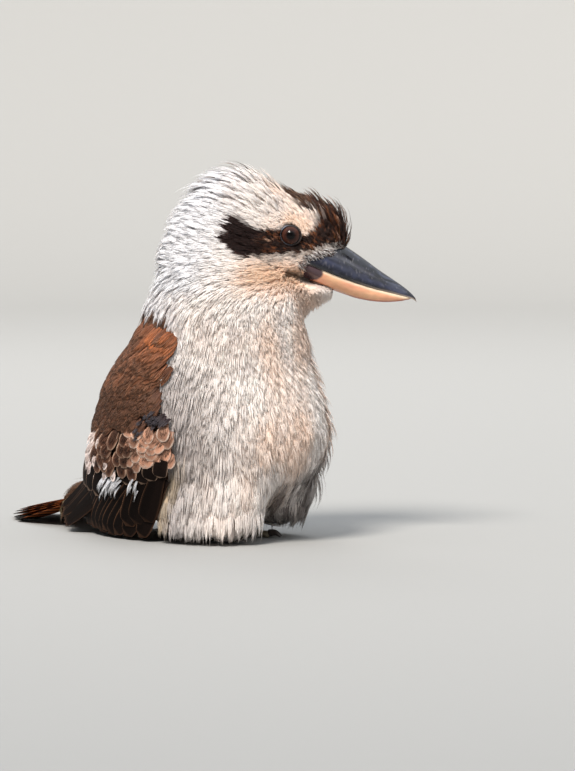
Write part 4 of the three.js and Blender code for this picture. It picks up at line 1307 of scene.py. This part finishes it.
def make_wing(side, sign, soft, stiff):
    draw = np.random.default_rng(21)

    def piece(name, made, look, material, small=False, **shape):
        path, up, width = made
        uv = unwrap(path[:, 0]) if small else None
        thing = vane_mesh(f"wing_{side}_{name}", path, up, width, look, uv=uv, **shape)
        finished(thing, material, "brown_plumage")

    def rows(name, heights, reach, gap, length, slant, width, look, lift=1.3, fan=1.04, vanes=True):
        angle, height = rows_of(draw, heights, reach, gap)
        made = vane_paths(sign, draw, angle, height, length, slant, width, lift)
        if vanes:
            piece(name, made, look, soft, small=True, camber=0.08)
        fan_locks(f"wing_{side}_{name}_barbs", made, look, draw, length, fan)

    flight = {"rows": 14, "across": ACROSS_WIDE, "camber": 0.05}
    made = primary_paths(sign, draw)
    piece("primaries", made, flight_look, stiff, full=0.5, root=0.6, blunt=1.8, **flight)
    made = tier(sign, draw, 19, (87, 146), (103, 178), (42, 50), (0.8, 10), 12.5, 2.2, 0.4, 0.72)
    piece("secondaries", made, flight_look, stiff, full=0.75, root=0.7, blunt=2.4, **flight)
    made = tier(sign, draw, 3, (88, 98), (98, 110), (46, 47), (12, 8), 15, 3.3, 0.4)
    piece("tertials", made, flight_look, stiff, full=0.8, root=0.7, blunt=2.6, **flight)
    down = covert_look(mix(BLUISH, DOWN_GREY, 0.3), WHITE, 1.0, 0.3, 0.2)
    for name, top, between, length in (("back", 38, (112, 125), 11), ("front", 41, (100, 105), 13)):
        angle, height = rows_of(draw, (top, top + 1.5, top + 3), lambda z, between=between: between, 1.6)
        made = vane_paths(sign, draw, angle, height, length, 8, 1.8, 4.5)
        fan_locks(f"wing_{side}_down_{name}", made, down, draw, 0, 1.04)
    greater = covert_look(FLIGHT_DARK * 1.2, BUFF, 0.6, 0.05, 0.2)
    made = tier(sign, draw, 5, (86, 103), (88, 108), (58, 60), (40, 34), 11, 3.6, 0.4)
    piece("greaters_front", made, greater, stiff, full=0.75, root=0.7, blunt=2.6, **flight)
    made = tier(sign, draw, 6, (120, 156), (131, 170), (58, 64), (26, 34), 12, 5.0)
    piece("greaters_back", made, greater, stiff, full=0.75, root=0.7, blunt=2.6, **flight)
    spotted = covert_look(srgb(212, 186, 176), srgb(246, 234, 230), 1.0, 0.4, 0.3)
    rows("spotted", np.arange(43, 75, 6.5), lambda z: (130, 160), 9.0, 11, 10, 5.6, spotted, fan=0.9)
    rows("flecks", (46, 53), lambda z: (117, 127), 9.0, 9, 10, 4.4, spotted, fan=0.9)
    fringed = covert_look(BROWN * 0.9, BUFF, 0.75, 0.13, 0.4)
    rows("medians", np.arange(54, 74, 6.0), lambda z: (wing_front(z) + 20, 132), 6.6, 13, 16, 9.0,
         fringed, fan=0.82)
    pale = covert_look(srgb(166, 122, 100), srgb(240, 220, 204), 1.0, 0.14, 0.4, 0.9)
    rows("wrist", np.arange(57, 80, 3.9), lambda z: wing_front(z) + [1, 24], 6.0, 11, 14, 9.5, pale, 0.9,
         fan=0.72)
    slate = covert_look(mix(SLATE, BROWN_DARK, 0.7) * 0.8, mix(SLATE, BLUISH, 0.1), 0.5, 0.1, 0.2)
    rows("patch", np.arange(80, 85, 1.4), lambda z: wing_front(z) + [0, 9], 1.6, 6, 22, 3.4, slate, 1.9,
         fan=1.05, vanes=False)
    rows("spot", np.arange(71, 76, 1.3), lambda z: (99, 102), 1.6, 5, 8, 2.6, slate, 2.0,
         fan=1.05, vanes=False)
    brown = covert_look(BROWN, BROWN_LIGHT, 0.5, 0.16)
    rows("lessers", np.arange(79, 106, 3.4), lambda z: (wing_front(z) + (13 if z < 86 else 0), 172),
         4.4, 11, 28, 6.4, brown)
    streaky = covert_look(mix(BROWN, RUFOUS, 0.24) * 0.9, mix(BROWN_LIGHT, BUFF, 0.15), 0.5, 0.16)
    rows("scapulars", np.arange(104, 139, 4), lambda z: (wing_front(z) + 1, 174), 4.8, 14, 32, 7.0,
         shoulder_look(streaky))


# Tail


TAIL_PAIRS = 6
TAIL_LENGTH = 128
TAIL_FAN = math.radians(5.6) / TAIL_PAIRS * 2
TAIL_LAYER = 0.95


def make_tail(stiff):
    paths, seeds = [], []
    for sign in (-1, 1):
        for i in range(TAIL_PAIRS):
            turn = sign * (0.35 + i) * TAIL_FAN
            layer = TAIL_LAYER * (TAIL_PAIRS - 1 - i) + (0.45 if sign > 0 else 0)
            length = TAIL_LENGTH * (1 - 0.012 * i * i)
            floor = -TAIL_ROOT[2] + 0.2 + layer
            shift = sign * i * 1.7
            places = (6, -5 + layer * 0.5), (length * 0.55, -17.5 + layer), (length, floor)
            paths.append([[-far * math.cos(turn), far * math.sin(turn) + shift, z] for far, z in places])
            seeds.append(0.1 * i)
    path = from_body(np.array(paths) @ turn_z(-TAIL_SWING).T + TAIL_ROOT)
    up = np.tile([0, 0, 1.0], (len(path), 2, 1))
    width = np.full(len(path), 17.0)
    tail = vane_mesh("tail_feathers", path, up, width, tail_look, rows=40, across=ACROSS_WIDE, full=0.8,
                     root=0.5, blunt=2.4, camber=0.05, seeds=np.array(seeds))
    finished(tail, stiff, "tail_plumage", "tail")


# Feet

FOOT_Y = 17.0
ANKLE = np.array([-3.0, 0, 24])
BALL = np.array([10.0, 0, 3.7])
SHANK_R = 3.2
TOES = (("middle", 4, 24, 3.2), ("outer", 22, 21, 3.0), ("inner", -26, 15, 2.9), ("hind", 176, 14, 3.0))
CLAW_LENGTH = 8.5


def limb(ends, radius, rows, around, flat=1.0, scute=0.0, scutes=0):
    """A limb round a curve of three points, with ringed scales along its top where scute is given."""

    def place(share, angle):
        t = share[..., None]
        across = unit(np.cross([0, 0, 1.0], curve_way(*ends, t)))
        up = np.cross(curve_way(*ends, t), across)
        closed = np.sqrt(np.clip(1 - (2 * share - 1) ** 16, 0, 1))
        scales = np.maximum(0, np.sin(angle)) * np.abs(np.sin(share * math.pi * scutes)) ** 0.5
        ring = (radius(share) + scute * scales) * closed
        beside, over = np.cos(angle) * ring, np.sin(angle) * ring * flat
        return curve(*ends, t) + across * beside[..., None] + up * over[..., None]

    return lofted(rows, around, place)


def make_toe(turn, length, thick):
    """A toe and its claw, out from the ball of the foot."""
    way = np.array([math.cos(turn), math.sin(turn), 0])
    knuckle, end = BALL + way * length * 0.5, BALL + way * length
    knuckle[2], end[2] = thick * 0.8, thick * 0.62

    def pads(t):
        return thick * mix(1.0, 0.7, t) * (1 + 0.1 * np.cos(t * math.pi * 6))

    start = BALL + way * (length - 0.6)
    start[2] = thick * 0.8
    middle = start + way * CLAW_LENGTH * 0.6 + [0, 0, 2.2]
    point = start + way * (CLAW_LENGTH * 0.95 + 0.6)
    point[2] = 0.7
    claw = limb((start, middle, point), lambda t: 1.75 * (1 - t) ** 0.8 + 0.25, 24, 16, 1.15)
    return limb((BALL, knuckle, end), pads, 54, 26, 0.9, 0.22, 11), claw


def make_feet():
    scaly = painted_material("foot_scales", 0.55, 0.35, 800.0, 0.0002)
    horn = painted_material("claw_horn", 0.35, 0.5, 400.0, 0.0001, coat=0.2)
    shank = ANKLE, (ANKLE + BALL) / 2, BALL
    for side, sign in SIDES:
        place = np.array([0, sign * FOOT_Y, 0])
        parts = [limb(shank, lambda t: SHANK_R * (1.2 - 0.35 * np.sin(math.pi * t)), 60, 28, 1.0, 0.3, 9)]
        for toe, turn, length, thick in TOES:
            part, (claw, faces) = make_toe(math.radians(turn) * sign, length, thick)
            parts.append(part)
            colour = mix(srgb(38, 32, 30), srgb(80, 70, 64), noise(claw, 1.5, 3)[:, None])
            uv = np.stack([claw[:, 0] / 60 + 0.4, claw[:, 2] / 20 + 0.4], 1)
            made = mesh_object(f"nail_{toe}_{side}", from_body(claw + place), faces, colour, uv)
            finished(made, horn, "claw_horn", f"claw_{toe}_{side}")
        points, faces = joined(parts)
        points[:, 2] = np.maximum(points[:, 2], 0.02)
        colour = mix(srgb(96, 88, 74), srgb(150, 140, 118), noise(points, 2.5, 4)[:, None])
        uv = np.stack([points[:, 0] / 80 + 0.4, points[:, 1] / 80 + 0.5], 1)
        foot = mesh_object(f"foot_scaled_{side}", from_body(points + place), faces, colour, uv)
        finished(foot, scaly, "foot_skin", f"foot_{side}")


BRISTLES_A_SIDE = 260


def make_bristles(material):
    """Stiff fine feathers that lie forward over the base of the bill, pale and dark."""
    draw = np.random.default_rng(5)
    low, high = BILL_FEATHER_LINE[2, 0], BILL_FEATHER_LINE[-1, 0]
    sides = np.repeat([-1.0, 1.0], BRISTLES_A_SIDE)
    count = len(sides)
    z = mix(low, high - 3.5, draw.random(count) ** 0.8)
    x = np.interp(z, *BILL_FEATHER_LINE.T) - draw.uniform(0.5, 6.0, count)
    root, normal = settle(from_head(np.stack([x, sides * 22, z], 1)))
    forward = np.stack([np.ones(count), 0 * z, -0.35 + draw.normal(0, 0.3, count)], 1) @ HEAD_TURN.T
    way = unit(forward - dot(forward, normal) * normal)
    length = draw.uniform(4, 8.5, count)[:, None]
    middle = root + way * length * 0.5 + normal * 1.3
    tip = root + way * length + normal * draw.uniform(0.6, 2.6, count)[:, None]
    points = np.stack([root - normal * 0.4, middle, tip], 1)
    normals = np.repeat(normal[:, None], 3, axis=1)
    pale = draw.random(count)[:, None] > 0.42
    colour = np.where(pale, mix(GREYISH, WHITE, draw.random(count)[:, None]), BROWN_DARK)
    nothing = np.zeros(count)
    width = draw.uniform(0.35, 0.6, count)
    parts = lock_mesh("long", points, normals, nothing, np.ones(count), width, nothing, nothing,
                      colour * 0.6, colour, unwrap(root))
    finished(lock_object("bill_bristles", *parts), material, "white_plumage")


make_bill()
make_eyes()
make_bristles(coat_material)
soft_vanes = vane_material("covert_vanes", 0.7, 0.15)
stiff_vanes = vane_material("flight_vanes", 0.6, 0.04)
for side_name, side_sign in SIDES:
    make_wing(side_name, side_sign, soft_vanes, stiff_vanes)
make_tail(stiff_vanes)
make_feet()
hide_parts("wing_right", "wing_left")


# Camera, light and floor

PIXEL = 0.64  # millimetres to a pixel of the photo's frame
FRAME_WIDE, FRAME_HIGH = 575, 771
LENS, SENSOR = 200.0, 36.0
CAMERA_RISE = math.radians(3.5)
LOOK_AT = np.array([(FRAME_WIDE / 2 - 200) * PIXEL, 0, (538 - FRAME_HIGH / 2) * PIXEL])
LIT_AT = Vector((0, 0, 0.12))
SUN_WAY = Vector((0.85, 1.85, -2.15))
SUN_POWER, SUN_ANGLE, SUN_COLOUR = 5.0, math.radians(20), (1.0, 0.94, 0.87)
SKY_POWER, SKY_COLOUR = 1.3, (0.88, 0.93, 1.0, 1)
FLOOR_COLOUR = (0.31, 0.31, 0.303, 1)
FLOOR_FLAT, FLOOR_BEND, FLOOR_TOP = 3.4, 1.6, 3.6  # metres


def make_camera():
    distance = FRAME_HIGH * PIXEL * LENS / SENSOR
    back = np.array([0, -math.cos(CAMERA_RISE), math.sin(CAMERA_RISE)])
    data = bpy.data.cameras.new("camera")
    data.lens, data.sensor_width = LENS, SENSOR
    camera = add_object("camera", data)
    camera.location = to_world(LOOK_AT + back * distance)
    camera.rotation_euler = (math.pi / 2 - CAMERA_RISE, 0, 0)
    bpy.context.scene.camera = camera


def add_light(name, kind, way, power, colour):
    data = bpy.data.lights.new(name, kind)
    data.energy, data.color = power, colour
    light = add_object(name, data)
    light.rotation_euler = way.to_track_quat("-Z", "Y").to_euler()
    return light


def area_light(name, place, size, power, colour=(1, 1, 1)):
    light = add_light(name, "AREA", LIT_AT - Vector(place), power, colour)
    light.data.size = size
    light.location = place


def make_floor():
    """A pale floor that curves up into a wall all round, far outside the camera."""
    turn = np.radians(np.arange(0, 91, 6))
    edge = FLOOR_FLAT + FLOOR_BEND
    far = np.concatenate([[0.01, 0.5, 1.5], FLOOR_FLAT + FLOOR_BEND * np.sin(turn), [edge]])
    high = np.concatenate([[0, 0, 0], FLOOR_BEND * (1 - np.cos(turn)), [FLOOR_TOP]])
    around = np.radians(np.arange(0, 360, 5))[:, None]
    points = np.stack([far * np.cos(around), far * np.sin(around), high + 0 * around], -1).reshape(-1, 3)
    middle = list(range(0, len(points), len(far)))
    quads = grid_quads(len(around), len(far), round_rows=True)
    mesh = bpy.data.meshes.new("floor")
    mesh.from_pydata(points.tolist(), [], [middle, *quads.tolist()])
    mesh.shade_smooth()
    pale, bsdf = new_material("floor_pale", 0.8, 0.1)
    bsdf.inputs["Base Color"].default_value = FLOOR_COLOUR
    mesh.materials.append(pale)
    add_object("floor", mesh)


def make_lights():
    world = bpy.data.worlds.new("studio")
    world.use_nodes = True
    sky = world.node_tree.nodes["Background"]
    sky.inputs["Color"].default_value, sky.inputs["Strength"].default_value = SKY_COLOUR, SKY_POWER
    bpy.context.scene.world = world
    bpy.context.scene.view_settings.view_transform = "Standard"
    add_light("key", "SUN", SUN_WAY, SUN_POWER, SUN_COLOUR).data.angle = SUN_ANGLE
    area_light("fill", (2.0, -1.6, 1.2), 1.8, 6, (0.95, 0.97, 1.0))
    area_light("rim", (-0.4, 2.0, 1.9), 1.2, 16)


make_camera()
make_floor()
make_lights()
